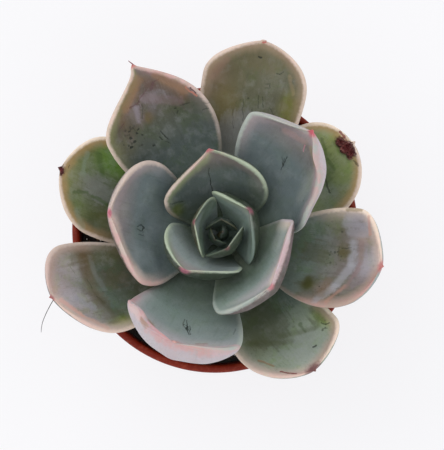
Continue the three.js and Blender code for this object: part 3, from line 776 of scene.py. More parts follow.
def leaf_relief(name, number, leaf, u, v, fields, under):
    chance = np.random.default_rng(40 + number)
    size = relative_width(leaf)
    waves = np.zeros(len(u))
    for wavelength, height in WAVES:
        heading, phase = chance.uniform(0, math.tau, 2)
        along = u * math.cos(heading) + v * math.sin(heading)
        waves += height * size * np.sin(along / wavelength * math.tau + phase)
    inner = np.clip(np.abs(fields["edge"]) / STILL_MARGIN, 0, 1)
    relief = waves * inner
    keel = KEEL * size * np.exp(-((u / (1.3 * size)) ** 2)) * inner
    ring = np.exp(-(((fields["scab"] - 0.35) / 0.45) ** 2))
    rough = 1 + 0.35 * np.sin(u * 7.1 + v * 3.3) * np.sin(v * 6.3 - u * 2.1)
    top = relief
    for row in SCABS.get(name, []):
        top = top + row[4] * ring * rough
    for row in SCRATCHES.get(name, []):
        if len(row) == 6:
            top = top - groove(name, u, v, row) * row[5]
    return np.where(under, relief * OUTER_CALM + keel, top)


print("relief ready")


# %% Colours of one leaf, point by point
def paint_leaf(name, leaf, share, across, u, v, under):
    *stops, outer = (to_light(PAINTS[paint]) for paint in COLOURS[name].split())
    tone = np.stack([np.interp(share, STOPS, channel) for channel in np.array(stops).T], 1)
    for x, y, reach_v, reach_u, colour, strength in WASHES.get(name, []):
        middle_u, middle_v = on_leaf(name, x, y)
        reach = ((u - middle_u) / reach_u) ** 2 + ((v - middle_v) / reach_v) ** 2
        tone = blend_to(tone, to_light(colour), strength * np.exp(-(reach**1.5))[:, None])
    bare = RUB_COLOURS.get(name, PAINTS[COLOURS[name].split()[1]])
    # the outer side's paint; on leaf_10 to leaf_19 it is painted shade
    below = blend_to(outer, stops[0], 0.6 * np.clip(1 - share / 0.45, 0, 1)[:, None])
    left_rim, left_band, right_rim, right_band = (to_light(PAINTS[p]) for p in RIMS[name].split())
    to_left = np.clip(across * 2.5 + 0.5, 0, 1)[:, None]
    radius, colour, strength = TIPS[name]
    from_tip = np.hypot(u, leaf["blade"][0] - v)
    return dict(
        tone=np.where(under[:, None], below, tone),
        rub_tone=np.where(under[:, None], below, to_light(bare)),
        rim_tone=blend_to(right_rim, left_rim, to_left),
        band_tone=blend_to(right_band, left_band, to_left),
        tip_tone=np.broadcast_to(to_light(colour), tone.shape),
        near_tip=np.clip(1.4 - from_tip / radius, 0, 1) * strength,
        share=share,
    )


print("tones of a leaf:", len(COLOURS["leaf_01"].split() + RIMS["leaf_01"].split()))

# %% [markdown]
# A point of the mesh can only tell the material about one scratch in each layer, the nearest one.
# So scratches that lie close together go on different layers. For each layer a point keeps how far
# it is across and along the scratch, how wide and deep the scratch is, and its colour.

# %% Scratches of one leaf, point by point
LAYERS, CLEAR = 4, 1.3  # a layer is free where its marks are this many mm off
SPREAD, SPREAD_FADE = 0.7, 0.25  # how far a stain can feather out past its width
OVER_CREST, WIDE, CREST_STEEPNESS = ["leaf_08"], 0.3, 1.3  # wide stains run over its rolled margin


def apart(first, second):
    ends = [np.linspace(start, end, 6) for start, end, *_ in (first, second)]
    return np.hypot(*(ends[0][:, None] - ends[1][None]).T).min() - first[2] - second[2]


def in_layers(name):
    layers = [[] for _ in range(LAYERS)]
    for row in SCRATCHES.get(name, []):
        colour = to_light(row[6] if len(row) > 6 else DARK)
        mark = (on_leaf(name, *row[:2]), on_leaf(name, *row[2:4]), row[4], row[5], colour)
        room = [min([apart(mark, other) for other in layer], default=9) for layer in layers]
        free = [i for i in range(LAYERS) if room[i] > CLEAR]
        layers[free[0] if free else int(np.argmax(room))].append(mark)
    return layers


def scratch_fields(name, u, v, edge, under):
    made = {}
    for i, layer in enumerate(in_layers(name)):
        nearest = np.full(len(under), FAR)
        line, kind, tint = (np.zeros((len(under), 3)) for _ in range(3))
        for start, end, half, depth, colour in layer:
            length = math.dist(start, end)
            head_u, head_v = (end - start) / length if length > 1e-2 else (1.0, 0.0)
            from_u, from_v = ((start + end) / 2)[:, None] - np.stack([u, v])
            along = from_u * head_u + from_v * head_v
            off = from_v * head_u - from_u * head_v
            over_crest = half > WIDE and name in OVER_CREST
            if over_crest:
                off = np.where(under, np.abs(edge) * CREST_STEEPNESS, off)
            gone = np.hypot(off, np.maximum(np.abs(along) - length / 2, 0)) - half
            here = (gone < nearest) & (~under | over_crest)
            nearest = np.where(here, gone, nearest)
            line[here] = np.stack([off, along, np.full(len(under), length / 2)], 1)[here]
            kind[here] = [half, depth, 0]
            tint[here] = colour
        kind[:, 2] = np.clip((SPREAD - nearest) / SPREAD_FADE, 0, 1)
        made.update({"line_%d" % i: line, "kind_%d" % i: kind, "tint_%d" % i: tint})
    return made


print("scratches of leaf_07 in each layer:", [len(layer) for layer in in_layers("leaf_07")])


# %% A worn tip, bent margins, and how fine each leaf is
BLUNT = {"leaf_04": 0.985}
NUDGES = {  # at and reach along the blade, side (1 left, -1 right, 0 both, 2 outer), move in mm
    "leaf_08": [
        (0.84, 0.03, -1, 0.0, 0.45, 0.05), (0.895, 0.03, -1, 0.9, 0.4, 0.1),
        (1.0, 0.05, 0, 0.2, 0.5, 0.2), (0.95, 0.07, 2, 0.3, 0.9, 0.0),
    ],
    "leaf_09": [
        (1.0, 0.035, 0, 0.0, 0.6, 0.2), (0.93, 0.04, -1, -0.5, -0.1, 0.0),
        (0.84, 0.05, -1, 0.3, 0.1, 0.0), (0.64, 0.10, -1, -0.8, 0.1, 0.1),
        (0.92, 0.05, 1, -0.1, -0.35, 0.0),
    ],
    "leaf_11": [(0.70, 0.06, 1, 0.7, 0.2, 0.1)],
}
FINENESS = [(25, 160, 132), (18, 128, 104), (8, 96, 72), (0, 64, 48)]  # longer than, around, rows


def ball_places(ball, rows):
    row = np.rint(np.degrees(np.arccos(np.clip(-ball[:, 2], -1, 1))) / 180 * rows)
    share = 1 - (1 - np.clip((row - 1) / (rows - 1), 0, 1)) ** 1.35
    share[row == rows] = 1
    turn = np.arctan2(ball[:, 1], ball[:, 0])
    across = 0.6 * np.cos(turn) + 0.4 * (1 - 2 * np.abs(turn) / math.pi)
    across[(row == rows) | (row == 0)] = 0
    return row, share, across, turn < -1e-6


def nudged(name, points, share, across, under):
    left, right = (np.clip(side * across * 1.6 - 0.6, 0, 1) for side in (1, -1))
    where = {0: 1, 1: left, -1: right, 2: under * (1 - across**2)}
    for at, reach, side, *move in NUDGES.get(name, []):
        near = np.exp(-(((share - at) / reach) ** 2)) * where[side]
        points = points + near[:, None] * move
    return points


print("nudges:", sum(len(rows) for rows in NUDGES.values()))


# %% Growing the leaves
def store(piece, name, values):
    values = np.ascontiguousarray(values, np.float32)
    if values.ndim == 1:
        made = piece.data.attributes.new(name, "FLOAT", "POINT")
        made.data.foreach_set("value", values)
    else:
        made = piece.data.attributes.new(name, "FLOAT_VECTOR", "POINT")
        made.data.foreach_set("vector", values.ravel())


def grow_leaf(number, name, leaf):
    around, rows = next(row[1:] for row in FINENESS if leaf["blade"][0] > row[0])
    select_none()
    bpy.ops.mesh.primitive_uv_sphere_add(segments=around, ring_count=rows, radius=1)
    piece = newest("fine_" + name)
    row, share, across, under = ball_places(read_points(piece), rows)
    share = share * BLUNT.get(name, 1)
    u, v, fields = leaf_fields(name, leaf, share, across, under)
    relief = leaf_relief(name, number, leaf, u, v, fields, under)
    points = leaf_points(leaf, number, share, across, under, relief)
    points = nudged(name, points, share, across, under)
    points[row == 0] = points[row == 1].mean(0)
    write_points(piece, points * MM)
    face_outwards(piece)
    bpy.ops.object.shade_smooth()

    fields.update(paint_leaf(name, leaf, share, across, u, v, under))
    fields.update(scratch_fields(name, u, v, fields["edge"], under))
    fields["map"] = np.stack([u, v, np.full(len(under), relative_width(leaf))], 1)
    for key, values in fields.items():
        store(piece, key, values)
    return piece


fine_leaves = {
    name: grow_leaf(number, name, leaf) for number, (name, leaf) in enumerate(LEAVES.items())
}
print("leaf triangles:", sum(triangles(piece) for piece in fine_leaves.values()))

# %% [markdown]
# ## The leaf's skin
#
# The skin is a waxy bloom over green flesh. The material starts with the painted colour, mottles
# it with noise of several sizes, adds faint streaks along the blade, and lilac patches on the outer
# side of the large leaves. The marks go over that in the order that they have on the plant: rubbed
# areas, film, pits, the band and the pale line along the margin, the blush, the tip, scratches and
# scabs. The flat map runs along each blade, so streaks and pits follow its curve. A little light
# passes into the flesh, and the bloom keeps the gloss low.
#
# A material is a tree of nodes, and each helper below adds one node or a few. It finds the tree by
# asking a socket that it is given, so only the nodes that take no input need to be told.


# %% Node helpers
def is_socket(value):
    return isinstance(value, bpy.types.NodeSocket)


def source(tree, kind, **settings):
    node = tree.nodes.new("ShaderNode" + kind)
    for key, value in settings.items():
        setattr(node, key, value)
    return node


def add(kind, wires, **settings):
    tree = next(value for value in wires.values() if is_socket(value)).id_data
    node = source(tree, kind, **settings)
    for socket, value in wires.items():
        if is_socket(value):
            tree.links.new(value, node.inputs[socket])
        else:
            node.inputs[socket].default_value = value
    return node


def field(tree, name, output="Fac"):
    return source(tree, "Attribute", attribute_name=name).outputs[output]


def maths(operation, a, b=0.0):
    return add("Math", {0: a, 1: b}, operation=operation).outputs[0]


def plus(*values):
    return reduce(lambda total, value: maths("ADD", total, value), values)


def minus(a, b):
    return maths("SUBTRACT", a, b)


def times(*values):
    return reduce(lambda total, value: maths("MULTIPLY", total, value), values)


def swing(pattern, reach):
    return times(minus(pattern, 0.5), reach)


def hypotenuse(a, b):
    return maths("SQRT", plus(maths("POWER", a, 2.0), maths("POWER", b, 2.0)))


def parts(vector):
    return add("SeparateXYZ", {0: vector}).outputs


def step(value, low, high):
    wires = {"Value": value, "From Min": low, "From Max": high}
    return add("MapRange", wires, interpolation_type="SMOOTHSTEP").outputs["Result"]


def mix(share, a, b, blend="MIX"):
    return add("Mix", {0: share, 6: a, 7: b}, data_type="RGBA", blend_type=blend).outputs[2]


def noise(vector, scale, detail=3.0, roughness=0.55):
    wires = {"Vector": vector, "Scale": scale, "Detail": detail, "Roughness": roughness}
    return add("TexNoise", wires).outputs[0]


print("node helpers ready")


# %% Helpers for a whole material
def millimetres(tree):
    place = source(tree, "TexCoord").outputs["Object"]
    return add("VectorMath", {0: place, "Scale": 1000.0}, operation="SCALE").outputs[0]


def screen(colour):
    return (*to_light(colour), 1.0)


def new_material(name):
    material = bpy.data.materials.new(name)
    material.use_nodes = True
    tree = material.node_tree
    return material, tree, tree.nodes["Principled BSDF"]


def dress(surface, colour, rough, height, strength, depth):
    bump = add("Bump", {"Height": height, "Strength": strength, "Distance": depth * MM})
    wires = {"Base Color": colour, "Roughness": rough, "Normal": bump.outputs[0]}
    for socket, value in wires.items():
        surface.id_data.links.new(value, surface.inputs[socket])


print("material helpers ready")


# %% The patterns of the skin, and the bloom that they mottle
def skin_patterns(tree):
    place, flat_place = millimetres(tree), field(tree, "map", "Vector")
    along, hair = (
        add("Mapping", {"Vector": flat_place, "Scale": scale}).outputs[0]
        for scale in ((1.5, 0.16, 0), (4.2, 0.42, 0))
    )
    coarse, middle = noise(place, 0.45, 5, 0.6), noise(place, 1.6, 4, 0.6)
    streak, size = noise(along, 1.0, 4, 0.6), parts(flat_place)[2]
    return SimpleNamespace(
        flat=flat_place,
        blotch=noise(place, 0.24, 6, 0.68),
        coarse=coarse,
        middle=middle,
        fine=noise(place, 6.0, 2, 0.6),
        streak=streak,
        hairline=step(noise(hair, 1.0, 5, 0.7), 0.56, 0.66),
        slow=swing(coarse, 1.2),
        ragged=swing(middle, 1.6),
        feather=swing(streak, 4.0),
        size=size,
        large=step(size, 0.95, 1.2),
        share=field(tree, "share"),
        edge=field(tree, "edge"),
    )


def mottled(tree, skin, wear):
    colour = field(tree, "tone", "Color")
    pale = mix(0.5, colour, screen((178, 182, 184)))
    green = mix(1.0, colour, (0.84, 0.98, 0.62, 1), "MULTIPLY")
    dark = mix(1.0, colour, (0.62, 0.66, 0.58, 1), "MULTIPLY")
    for pattern, amount, other in (
        (step(skin.blotch, 0.5, 0.58), 0.55 * wear, green),
        (step(skin.coarse, 0.46, 0.66), 0.16 + 0.1 * wear, pale),
        (step(skin.middle, 0.52, 0.72), 0.25 + 0.2 * wear, dark),
        (step(skin.streak, 0.52, 0.72), 0.3 + 0.1 * wear, dark),
        (skin.hairline, 0.1 + 0.3 * wear, dark),
        (step(skin.fine, 0.5, 0.8), 0.22, dark),
    ):
        colour = mix(times(pattern, amount), colour, other)
    outside, patch = step(skin.edge, -0.1, -0.6), step(skin.blotch, 0.43, 0.62)
    lilac = times(outside, patch, skin.large, step(skin.share, 0.5, 0.8), 0.28)
    return mix(lilac, colour, screen((196, 160, 184)))


print("bloom ready")


# %% Rubbed areas, film and pits, then the margin, the blush and the tip
def worn(tree, skin, colour):
    loose = plus(swing(skin.coarse, 7.0), skin.ragged, skin.feather)
    rubbed = step(plus(field(tree, "rubbed"), loose), -0.8, 1.0)
    film = step(minus(field(tree, "film"), loose), -0.8, 1.4)
    colour = mix(times(rubbed, 0.4), colour, field(tree, "rub_tone", "Color"))
    waxy = mix(0.4, colour, screen((178, 178, 188)))
    colour = mix(times(film, 0.5), colour, waxy)

    cells = add("TexVoronoi", {"Vector": skin.flat, "Scale": 1.25, "Randomness": 1.0})
    chance = parts(cells.outputs["Color"])[0]
    dot = times(step(cells.outputs["Distance"], 0.38, 0.22), step(chance, 0.3, 0.6))
    dot = times(dot, step(field(tree, "specks"), -0.2, 0.9), 0.62)
    return mix(dot, colour, screen((46, 48, 40))), rubbed


def edged(tree, skin, colour):
    coarse, share, uneven = skin.coarse, skin.share, swing(skin.middle, 0.5)
    below = maths("MINIMUM", skin.edge, 0.0)
    inset = plus(skin.edge, times(below, minus(2.5, times(skin.large, 2.5))))
    edge = plus(maths("DIVIDE", inset, maths("SQRT", skin.size)), uneven)
    broad = plus(edge, skin.slow)

    # band and rim lay the RIMS paints: pale margins with a painted highlight on the lines, painted
    # light on some bands and painted shade on the innermost leaves
    band = times(step(broad, 2.6, 0.5), step(edge, -0.5, 0.0))
    band = times(band, step(share, 0.4, 0.8), 0.8)
    colour = mix(band, colour, field(tree, "band_tone", "Color"))
    rim = times(step(edge, 0.85, 0.2), step(edge, -0.6, 0.0))
    rim = times(rim, step(share, 0.15, 0.75))
    strong = plus(times(step(coarse, 0.35, 0.65), 0.2), 0.75)
    colour = mix(times(rim, strong), colour, field(tree, "rim_tone", "Color"))

    near = times(step(broad, 1.5, 0.2), step(edge, -0.9, 0.1))
    pink = times(near, field(tree, "blush"), step(coarse, 0.36, 0.6), 0.5)
    colour = mix(pink, colour, screen((214, 142, 150)))
    tip = step(plus(field(tree, "near_tip"), uneven), 0.05, 0.75)
    return mix(times(tip, 0.9), colour, field(tree, "tip_tone", "Color"))


print("wear and margins ready")


# %% Scratches and scabs
def scratched(tree, skin, colour):
    bend = plus(swing(skin.middle, 0.35), times(skin.slow, 0.9))
    wander = plus(times(skin.slow, 2.0), times(skin.ragged, 0.5))
    wander = plus(wander, times(skin.feather, 0.12))
    deepest = None
    for i in range(LAYERS):
        off, along, half_length = parts(field(tree, "line_%d" % i, "Vector"))
        half, depth, near = parts(field(tree, "kind_%d" % i, "Vector"))
        past_end = minus(maths("ABSOLUTE", along), half_length)
        gone = hypotenuse(plus(off, bend), maths("MAXIMUM", past_end, 0.0))
        wide = times(maths("MINIMUM", half, SPREAD), step(half, 0.15, 0.4))
        ragged = plus(gone, swing(skin.fine, 0.15), times(wander, wide))
        outer = plus(times(wide, 0.6), 0.07)
        inner = minus(times(wide, -0.6), 0.04)
        inside = step(minus(ragged, half), outer, inner)
        share = times(inside, depth, near)
        colour = mix(share, colour, field(tree, "tint_%d" % i, "Color"))
        thin = times(share, step(half, 0.3, 0.2))
        deepest = maths("MAXIMUM", deepest, thin) if deepest else thin
    return colour, deepest


def scabbed(tree, skin, colour):
    crust = plus(field(tree, "scab"), swing(skin.middle, 1.1))
    sore = mix(step(crust, 0.1, 0.9), screen((96, 44, 46)), screen((158, 74, 80)))
    sore = mix(step(skin.fine, 0.5, 0.62), sore, screen((70, 36, 40)))
    flakes = times(step(skin.middle, 0.55, 0.68), 0.7)
    sore = mix(flakes, sore, screen((184, 132, 122)))
    scab = step(crust, -0.14, 0.12)
    return mix(times(scab, 0.95), colour, sore), scab


print("scratches and scabs ready")


# %% The two leaf materials
def leaf_skin(name, bloom, wear):
    material, tree, surface = new_material(name)
    skin = skin_patterns(tree)
    colour, rubbed = worn(tree, skin, mottled(tree, skin, wear))
    colour, scratch = scratched(tree, skin, edged(tree, skin, colour))
    colour, scab = scabbed(tree, skin, colour)

    rough = plus(times(skin.middle, 0.16), 0.42 + bloom, times(rubbed, -0.12))
    height = plus(
        times(skin.middle, 0.05),
        times(skin.fine, 0.03),
        times(skin.streak, 0.06),
        times(skin.hairline, -0.012 * wear),
        times(scratch, -0.06),
        times(rubbed, -0.02),
        times(scab, skin.fine, 0.5),
    )
    dress(surface, colour, rough, height, 0.9, 1)
    surface.inputs["Subsurface Weight"].default_value = 0.12
    surface.inputs["Subsurface Radius"].default_value = (1.0, 0.8, 0.45)
    surface.inputs["Subsurface Scale"].default_value = 0.9 * MM
    surface.inputs["Specular IOR Level"].default_value = 0.42
    return material


OLD_LEAVES = 7
old_skin = leaf_skin("old_leaf_skin", 0.0, 1.0)
young_skin = leaf_skin("young_leaf_skin", 0.06, 0.3)
for number, piece in enumerate(fine_leaves.values()):
    piece.data.materials.append(old_skin if number < OLD_LEAVES else young_skin)
    node = "leaf_%02d" % (number + 1)
    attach(piece, "root")
    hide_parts(node)
print("leaf skins:", old_skin.name, young_skin.name)

# %% [markdown]
# ## The nursery pot
#
# The pot is one thin moulding of brick coloured plastic, with a stepped collar, a rolled lip and a
# drained foot. It is raised from a disc: extrude the rim a little, set its radius, and go on up the
# outside, over the lip and down the inside to the floor. That is how a potter would throw it, and
# it keeps every ring at a size from the drawing. A ring channel is then pushed up into its
# underside, the edges are rounded with a bevel, and the drains and the notches of the foot are cut
# out with cylinders and boxes, as with a drill and a file.

# %% Raise a round body ring by ring
def disc(name, radius, height, sides):
    select_none()
    bpy.ops.mesh.primitive_circle_add(
        vertices=sides, radius=radius * MM, fill_type="NGON", location=(0, 0, height * MM)
    )
    piece = newest(name)
    bpy.ops.object.transform_apply(location=True, rotation=True, scale=True)
    edit("SELECT")
    return piece


def raise_rings(rings, radius, height):
    for next_radius, next_height in rings:
        lift = (0, 0, (next_height - height) * MM)
        bpy.ops.mesh.extrude_region_move(TRANSFORM_OT_translate={"value": lift})
        ratio = next_radius / radius
        middle = (0, 0, next_height * MM)
        bpy.ops.transform.resize(value=(ratio, ratio, 1), center_override=middle)
        radius, height = next_radius, next_height


WALL, POT_FLOOR, COLLAR_FOOT = 1, 2.6, 42


def wall_inside(height):
    return blend_to(20, 26.4, height / RIM_HEIGHT) - WALL


pot = disc("fine_pot", 19.6, 0, 192)
outside = [(20, 0.4), (wall_inside(COLLAR_FOOT) + WALL, 41.6), (26.7, COLLAR_FOOT)]
outside += [(27.1, 48.4), (27.5, 48.8), (27.5, 49.6), (27.1, RIM_HEIGHT)]
inside = [(26.4, RIM_HEIGHT), (26, 49.6), (26, 48.8)]
inside += [(wall_inside(height), height) for height in (COLLAR_FOOT, POT_FLOOR)]
raise_rings(outside + inside, 19.6, 0)
leave_edit()
print("pot rings:", len(outside + inside), "faces:", len(pot.data.polygons))


# %% Sink the ring channel into the underside
def pick_faces(piece, test):
    only(piece)
    edit("DESELECT")
    leave_edit()
    for face in piece.data.polygons:
        face.select = test(face.center / MM)
    bpy.ops.object.mode_set(mode="EDIT")
    bpy.ops.mesh.select_mode(type="FACE")


FOOT_RING, CHANNEL, SLOPE, DEPTH = 2.6, 7.7, 0.4, 1.2  # widths, and how deep the channel is
pick_faces(pot, lambda middle: abs(middle.z) < 0.01 and middle.xy.length < 1)
for flat_width, lift in ((FOOT_RING, DEPTH), (CHANNEL, -DEPTH)):
    bpy.ops.mesh.inset(thickness=flat_width * MM)
    bpy.ops.mesh.inset(thickness=SLOPE * MM)
    bpy.ops.transform.translate(value=(0, 0, lift * MM))
leave_edit()
face_outwards(pot)
low, high = read_points(pot).min(0) / MM, read_points(pot).max(0) / MM
print("pot spans", low.round(2), "to", high.round(2))

# %% Round its edges, then drill the drains and cut the notches
only(pot)
rounding = pot.modifiers.new("rounding", "BEVEL")
rounding.width = 0.22 * MM
rounding.segments = 3
rounding.limit_method = "ANGLE"
rounding.angle_limit = math.radians(18)
bpy.ops.object.modifier_apply(modifier="rounding")

DRAINS, DRAIN_RING, DRAIN_RADIUS = 6, 12.75, 2.4
NOTCHES, NOTCH_RING, NOTCH_SIZE = 4, 18.5, (5, 4, 2.4)


def on_ring(radius, angle):
    return (radius * MM * math.cos(angle), radius * MM * math.sin(angle), 0)


cutters = []
for i in range(DRAINS):
    middle = on_ring(DRAIN_RING, (i + 0.5) / DRAINS * math.tau)
    select_none()
    bpy.ops.mesh.primitive_cylinder_add(
        vertices=48, radius=DRAIN_RADIUS * MM, depth=8 * MM, location=middle
    )
    cutters.append(newest("drain_cutter"))
for i in range(NOTCHES):
    angle = i / NOTCHES * math.tau
    middle = on_ring(NOTCH_RING, angle)
    bpy.ops.mesh.primitive_cube_add(size=MM, location=middle, rotation=(0, 0, angle))
    bpy.ops.transform.resize(value=NOTCH_SIZE, orient_type="LOCAL")
    cutters.append(newest("notch_cutter"))
for cutter in cutters:
    only(pot)
    cut = pot.modifiers.new("cut", "BOOLEAN")
    cut.object = cutter
    cut.solver = "EXACT"
    bpy.ops.object.modifier_apply(modifier="cut")
    bpy.data.objects.remove(cutter)
bpy.ops.object.shade_smooth_by_angle(angle=math.radians(28))
print("pot triangles:", triangles(pot))


# %% [markdown]
# Moulded plastic is smooth but not perfect: it has a fine grain from the mould, a slow unevenness
# in its colour, pale scuffs on its lip and dust round its foot. The inside of the collar, below the
# lip, is darkened nearly to black: painted shade in that recess, with a stain of the mix.

# %% Brick coloured plastic
SHADE_AND_STAIN_RADIUS, SHADE_AND_STAIN_FROM, SHADE_AND_STAIN_TO = (26.2, 25.6), (41.3, 42.0), (49.6, 48.6)  # none to full, in mm


def pot_plastic():
    material, tree, surface = new_material("pot_plastic")
    place = millimetres(tree)
    x, y, height = parts(place)
    slow, grain = noise(place, 0.12, 3), noise(place, 3.0, 3)
    dust = noise(place, 0.9, 6, 0.7)
    # painted shade in the recess inside the collar, with a stain of the mix: the wall below the lip
    # goes nearly black
    shade_and_stain = times(step(hypotenuse(x, y), *SHADE_AND_STAIN_RADIUS), step(height, *SHADE_AND_STAIN_FROM))
    shade_and_stain = times(shade_and_stain, step(height, *SHADE_AND_STAIN_TO), step(dust, 0.25, 0.5), 0.97)
    colour = mix(step(slow, 0.3, 0.7), screen((118, 41, 25)), screen((128, 46, 29)))
    for share, other in (
        (times(step(grain, 0.55, 0.8), 0.35), (88, 28, 18)),
        (times(step(height, 49.2, 49.9), step(dust, 0.45, 0.65), 0.35), (164, 82, 62)),
        (times(step(height, 9.0, 0.5), step(dust, 0.45, 0.7), 0.3), (120, 92, 76)),
        (shade_and_stain, (36, 27, 24)),
    ):
        colour = mix(share, colour, screen(other))
    lumps = plus(times(grain, 0.02), times(slow, 0.12))
    dress(surface, colour, plus(times(dust, 0.22), 0.34), lumps, 0.7, 1)
    surface.inputs["Specular IOR Level"].default_value = 0.2
    return material


pot.data.materials.append(pot_plastic())
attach(pot, "root")
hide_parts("pot")
print("pot finished")

# %% [markdown]
# ## The potting mix
#
# The mix is peat with bark and perlite, nearly black where it is damp. Its body is a disc raised to
# the brim, with many rings inset in its top. The rings are then pushed up and down by layered
# waves, for crumbs too small to model singly, and up towards the wall, where watering has banked
# the mix against the collar.

# %% The body of the mix
def soil_height(x, y):
    slow = np.sin(x * 0.33 + 0.8) * np.cos(y * 0.29 - 0.4)
    quick = np.sin(x * 1.3 - y * 0.7) * np.cos(y * 1.5 + x * 0.4)
    banked = 4.4 * np.clip((np.hypot(x, y) - 20.6) / 4.8, 0, 1) ** 2
    return SOIL_TOP + 0.5 * (0.6 * slow + 0.4 * quick - 1) + banked


foot, below_collar = wall_inside(POT_FLOOR) - 0.3, wall_inside(41.5)
soil = disc("fine_soil", foot, POT_FLOOR, 220)
brim = [(below_collar - 0.1, 41.5), (below_collar, 42.2), (25.5, 42.5), (25.7, 43.2)]
raise_rings(brim, foot, POT_FLOOR)
for _ in range(48):
    bpy.ops.mesh.inset(thickness=0.52 * MM)
leave_edit()
points = read_points(soil) / MM
x, y, z = points.T
crumb = 0.16 * np.sin(x * 4.1 + np.sin(y * 3.3) * 1.7) * np.sin(y * 3.7 + np.cos(x * 2.9) * 1.9)
crumb += 0.10 * np.sin(x * 7.3 - y * 5.9) * np.sin(y * 8.1 + x * 3.1)
top = z > 43.1
points[top, 2] = (soil_height(x, y) + crumb)[top]
write_points(soil, points * MM)
face_outwards(soil)
bpy.ops.object.shade_smooth()
print("mix triangles:", triangles(soil))

# %% [markdown]
# Crumbs of bark and grains of perlite lie loose on the mix. One lumpy ball is copied many times,
# and each copy is turned, squashed and set down at a place of its own. More of them lie towards the
# wall, where watering has washed them. Joined, they are one piece of each kind.


# %% Loose grains on the mix
def grain_cluster(name, count, sizes, seed):
    chance = np.random.default_rng(seed)
    select_none()
    bpy.ops.mesh.primitive_ico_sphere_add(subdivisions=1, radius=MM)
    model = newest(name)
    shape = read_points(model)
    write_points(model, shape * (1 + 0.28 * np.sin(shape[:, [1, 2, 0]] * 2300 + 1.1)))
    copies = []
    for _ in range(count):
        distance, angle = 25 * chance.uniform(0.05, 1) ** 0.35, chance.uniform(0, math.tau)
        x, y = distance * math.cos(angle), distance * math.sin(angle)
        size = chance.uniform(*sizes)
        grain = model.copy()
        grain.data = model.data.copy()
        bpy.context.collection.objects.link(grain)
        grain.location = Vector((x, y, soil_height(x, y) + size * 0.1)) * MM
        grain.rotation_euler = chance.uniform(0, math.tau, 3)
        grain.scale = size * chance.uniform(0.55, 1, 3)
        copies.append(grain)
    bpy.data.objects.remove(model)
    only(copies[0])
    for grain in copies:
        grain.select_set(True)
    bpy.ops.object.join()
    bpy.ops.object.transform_apply(location=True, rotation=True, scale=True)
    piece = newest(name)
    face_outwards(piece)
    return piece


bark = grain_cluster("bark_crumbs", 900, (0.25, 0.8), 11)
perlite = grain_cluster("perlite_grains", 420, (0.15, 0.42), 12)
print("grain triangles:", triangles(bark) + triangles(perlite))


# %% Damp peat, bark and perlite
def crumbly(name, dark, light, spot, roughness):
    material, tree, surface = new_material(name)
    place = millimetres(tree)
    coarse = noise(place, 0.8, 5, 0.65)
    fine = noise(place, 4.0, 4, 0.7)
    colour = mix(step(coarse, 0.35, 0.68), screen(dark), screen(light))
    colour = mix(step(fine, 0.64, 0.74), colour, screen(spot))
    dress(surface, colour, plus(times(fine, 0.2), roughness), fine, 1.0, 0.4)
    return material


peat = crumbly("damp_peat", (30, 25, 23), (52, 42, 36), (110, 98, 86), 0.72)
brown = crumbly("bark_crumb", (56, 42, 36), (112, 84, 68), (150, 126, 106), 0.7)
white = crumbly("perlite", (186, 180, 172), (224, 220, 212), (140, 132, 124), 0.75)
for piece, material in ((soil, peat), (bark, brown), (perlite, white)):
    piece.data.materials.append(material)
    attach(piece, "root")
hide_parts("soil")
print("mix finished")

# %% [markdown]
# ## The stem
#
# The stem is short and woody, ringed with the scars of leaves that it has shed. It is raised ring
# by ring along its own axis, with a small ridge at each scar, and then leaned as the rosette is.

# %% Raise the stem
stem_rings = [(2.4, -8)]
for h in np.arange(-1.5, STEM_TOP - 0.2, 0.2):
    stem_rings.append((float(stem_radius(h)) + 0.16 * math.sin(h * 7.4) ** 2, h))
stem = disc("fine_stem", 1.2, -15, 64)
raise_rings(stem_rings + [(0.3, STEM_TOP)], 1.2, -15)
leave_edit()
points = read_points(stem) / MM
angle = np.arctan2(points[:, 1], points[:, 0])
height = points[:, 2]
bulge = 1 + 0.03 * np.sin(angle * 5 + height * 1.9) + 0.02 * np.sin(angle * 9 - height * 3.1)
points[:, :2] *= bulge[:, None]
write_points(stem, leaned(points) * MM)
face_outwards(stem)
bpy.ops.object.shade_smooth()
stem.data.materials.append(crumbly("stem_bark", (92, 88, 62), (126, 122, 88), (140, 128, 104), 0.6))
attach(stem, "root")
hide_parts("stem")
print("stem triangles:", triangles(stem))

# %% [markdown]
# ## A strand and a bristle
#
# Two hairs stand out against the white. A strand of coir from the mix has caught below the left
# leaf, and the upper left leaf keeps the dry bristle of its first growth. Each is a curve through a
# few points, given a round section that thins towards its end, and then made a mesh.

# %% Draw the two hairs
def draw_hair(name, path, thickness):
    select_none()
    bpy.ops.curve.primitive_nurbs_path_add()
    hair = newest(name)
    spline = hair.data.splines[0]
    spline.points.add(max(0, len(path) - len(spline.points)))
    for i, point in enumerate(spline.points):
        x, y, z = path[min(i, len(path) - 1)]
        point.co = (x * MM, y * MM, z * MM, 1)
        point.radius = 1 - 0.6 * i / len(spline.points)
    hair.data.bevel_depth = thickness / 2 * MM
    hair.data.bevel_resolution = 2
    hair.data.use_fill_caps = True
    bpy.ops.object.convert(target="MESH")
    hair = newest(name)
    face_outwards(hair)
    bpy.ops.object.shade_smooth()
    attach(hair, "root")
    return hair


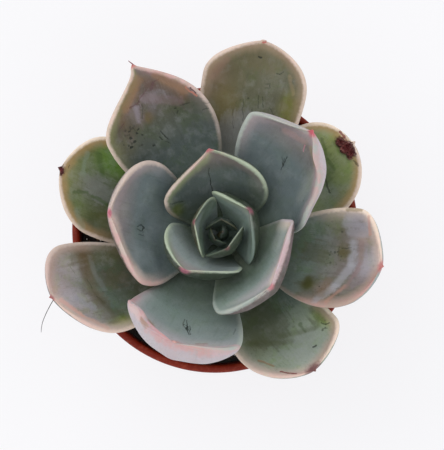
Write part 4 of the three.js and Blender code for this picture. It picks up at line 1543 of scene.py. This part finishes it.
strand_path = [(-29.9, -12.5, 62.8), (-30.4, -13.1, 63.0), (-31.3, -14.7, 63.3)]
strand_path += [(-32.4, -16.9, 63.5), (-32.6, -18.1, 63.5), (-32.65, -19.2, 63.4)]
bristle_path = [(-15.3, 31.0, 64.6), (-15.5, 31.25, 64.75), (-15.75, 31.4, 64.85)]
bristle_path += [(-15.95, 31.5, 64.95), (-16.2, 31.75, 65.05)]
strand = draw_hair("coir_strand", strand_path, 0.17)
bristle = draw_hair("dry_bristle", bristle_path, 0.26)
coir = crumbly("coir", (52, 50, 50), (84, 80, 78), (110, 104, 98), 0.6)
dry_skin = crumbly("dry_skin", (120, 72, 84), (176, 116, 122), (200, 150, 150), 0.6)
strand.data.materials.append(coir)
bristle.data.materials.append(dry_skin)
print("hair triangles:", triangles(strand), triangles(bristle))

# %% [markdown]
# ## Floor, light and camera
#
# The plant stands on a white sheet in a light tent: soft white from every side, and a little more
# from above. The sheet glows faintly, as paper does when it is lit from behind, so that hardly a
# shadow shows. The camera hangs straight above, far off, with a long lens.

# %% White sheet
select_none()
bpy.ops.mesh.primitive_plane_add(size=3, location=(0, 0, 0))
floor = newest("white_sheet")
material, tree, surface = new_material("white_sheet")
paper = noise(millimetres(tree), 0.02, 2)
sheet = mix(paper, (0.19, 0.19, 0.2, 1), (0.21, 0.21, 0.22, 1))
tree.links.new(sheet, surface.inputs["Base Color"])
surface.inputs["Roughness"].default_value = 0.9
surface.inputs["Emission Color"].default_value = (0.985, 0.985, 1, 1)
surface.inputs["Emission Strength"].default_value = 0.75
floor.data.materials.append(material)
print("floor laid")

# %% Soft light
world = bpy.data.worlds.new("light_tent")
world.use_nodes = True
world.node_tree.nodes["Background"].inputs["Color"].default_value = (1, 1, 1, 1)
world.node_tree.nodes["Background"].inputs["Strength"].default_value = 0.9
bpy.context.scene.world = world


def softbox(name, place, target, size, power):
    lamp = bpy.data.lights.new(name, "AREA")
    lamp.size = size
    lamp.energy = power
    box = bpy.data.objects.new(name, lamp)
    box.location = place
    box.rotation_euler = (Vector(target) - Vector(place)).to_track_quat("-Z", "Y").to_euler()
    bpy.context.collection.objects.link(box)


softbox("top_softbox", (-0.3, 0.3, 0.8), (0, 0, 0.05), 0.5, 1.6)
softbox("side_softbox", (0.6, -0.5, 0.45), (0, 0, 0.05), 0.5, 0.3)
bpy.context.scene.view_settings.view_transform = "Standard"

# %% Camera straight above
camera = bpy.data.objects.new("camera", bpy.data.cameras.new("camera"))
camera.location = EYE * MM
camera.data.lens = 249.6
camera.data.sensor_width = 36
camera.data.clip_start = 0.01
bpy.context.collection.objects.link(camera)
bpy.context.scene.camera = camera
print("camera at", tuple(round(v, 4) for v in camera.location))
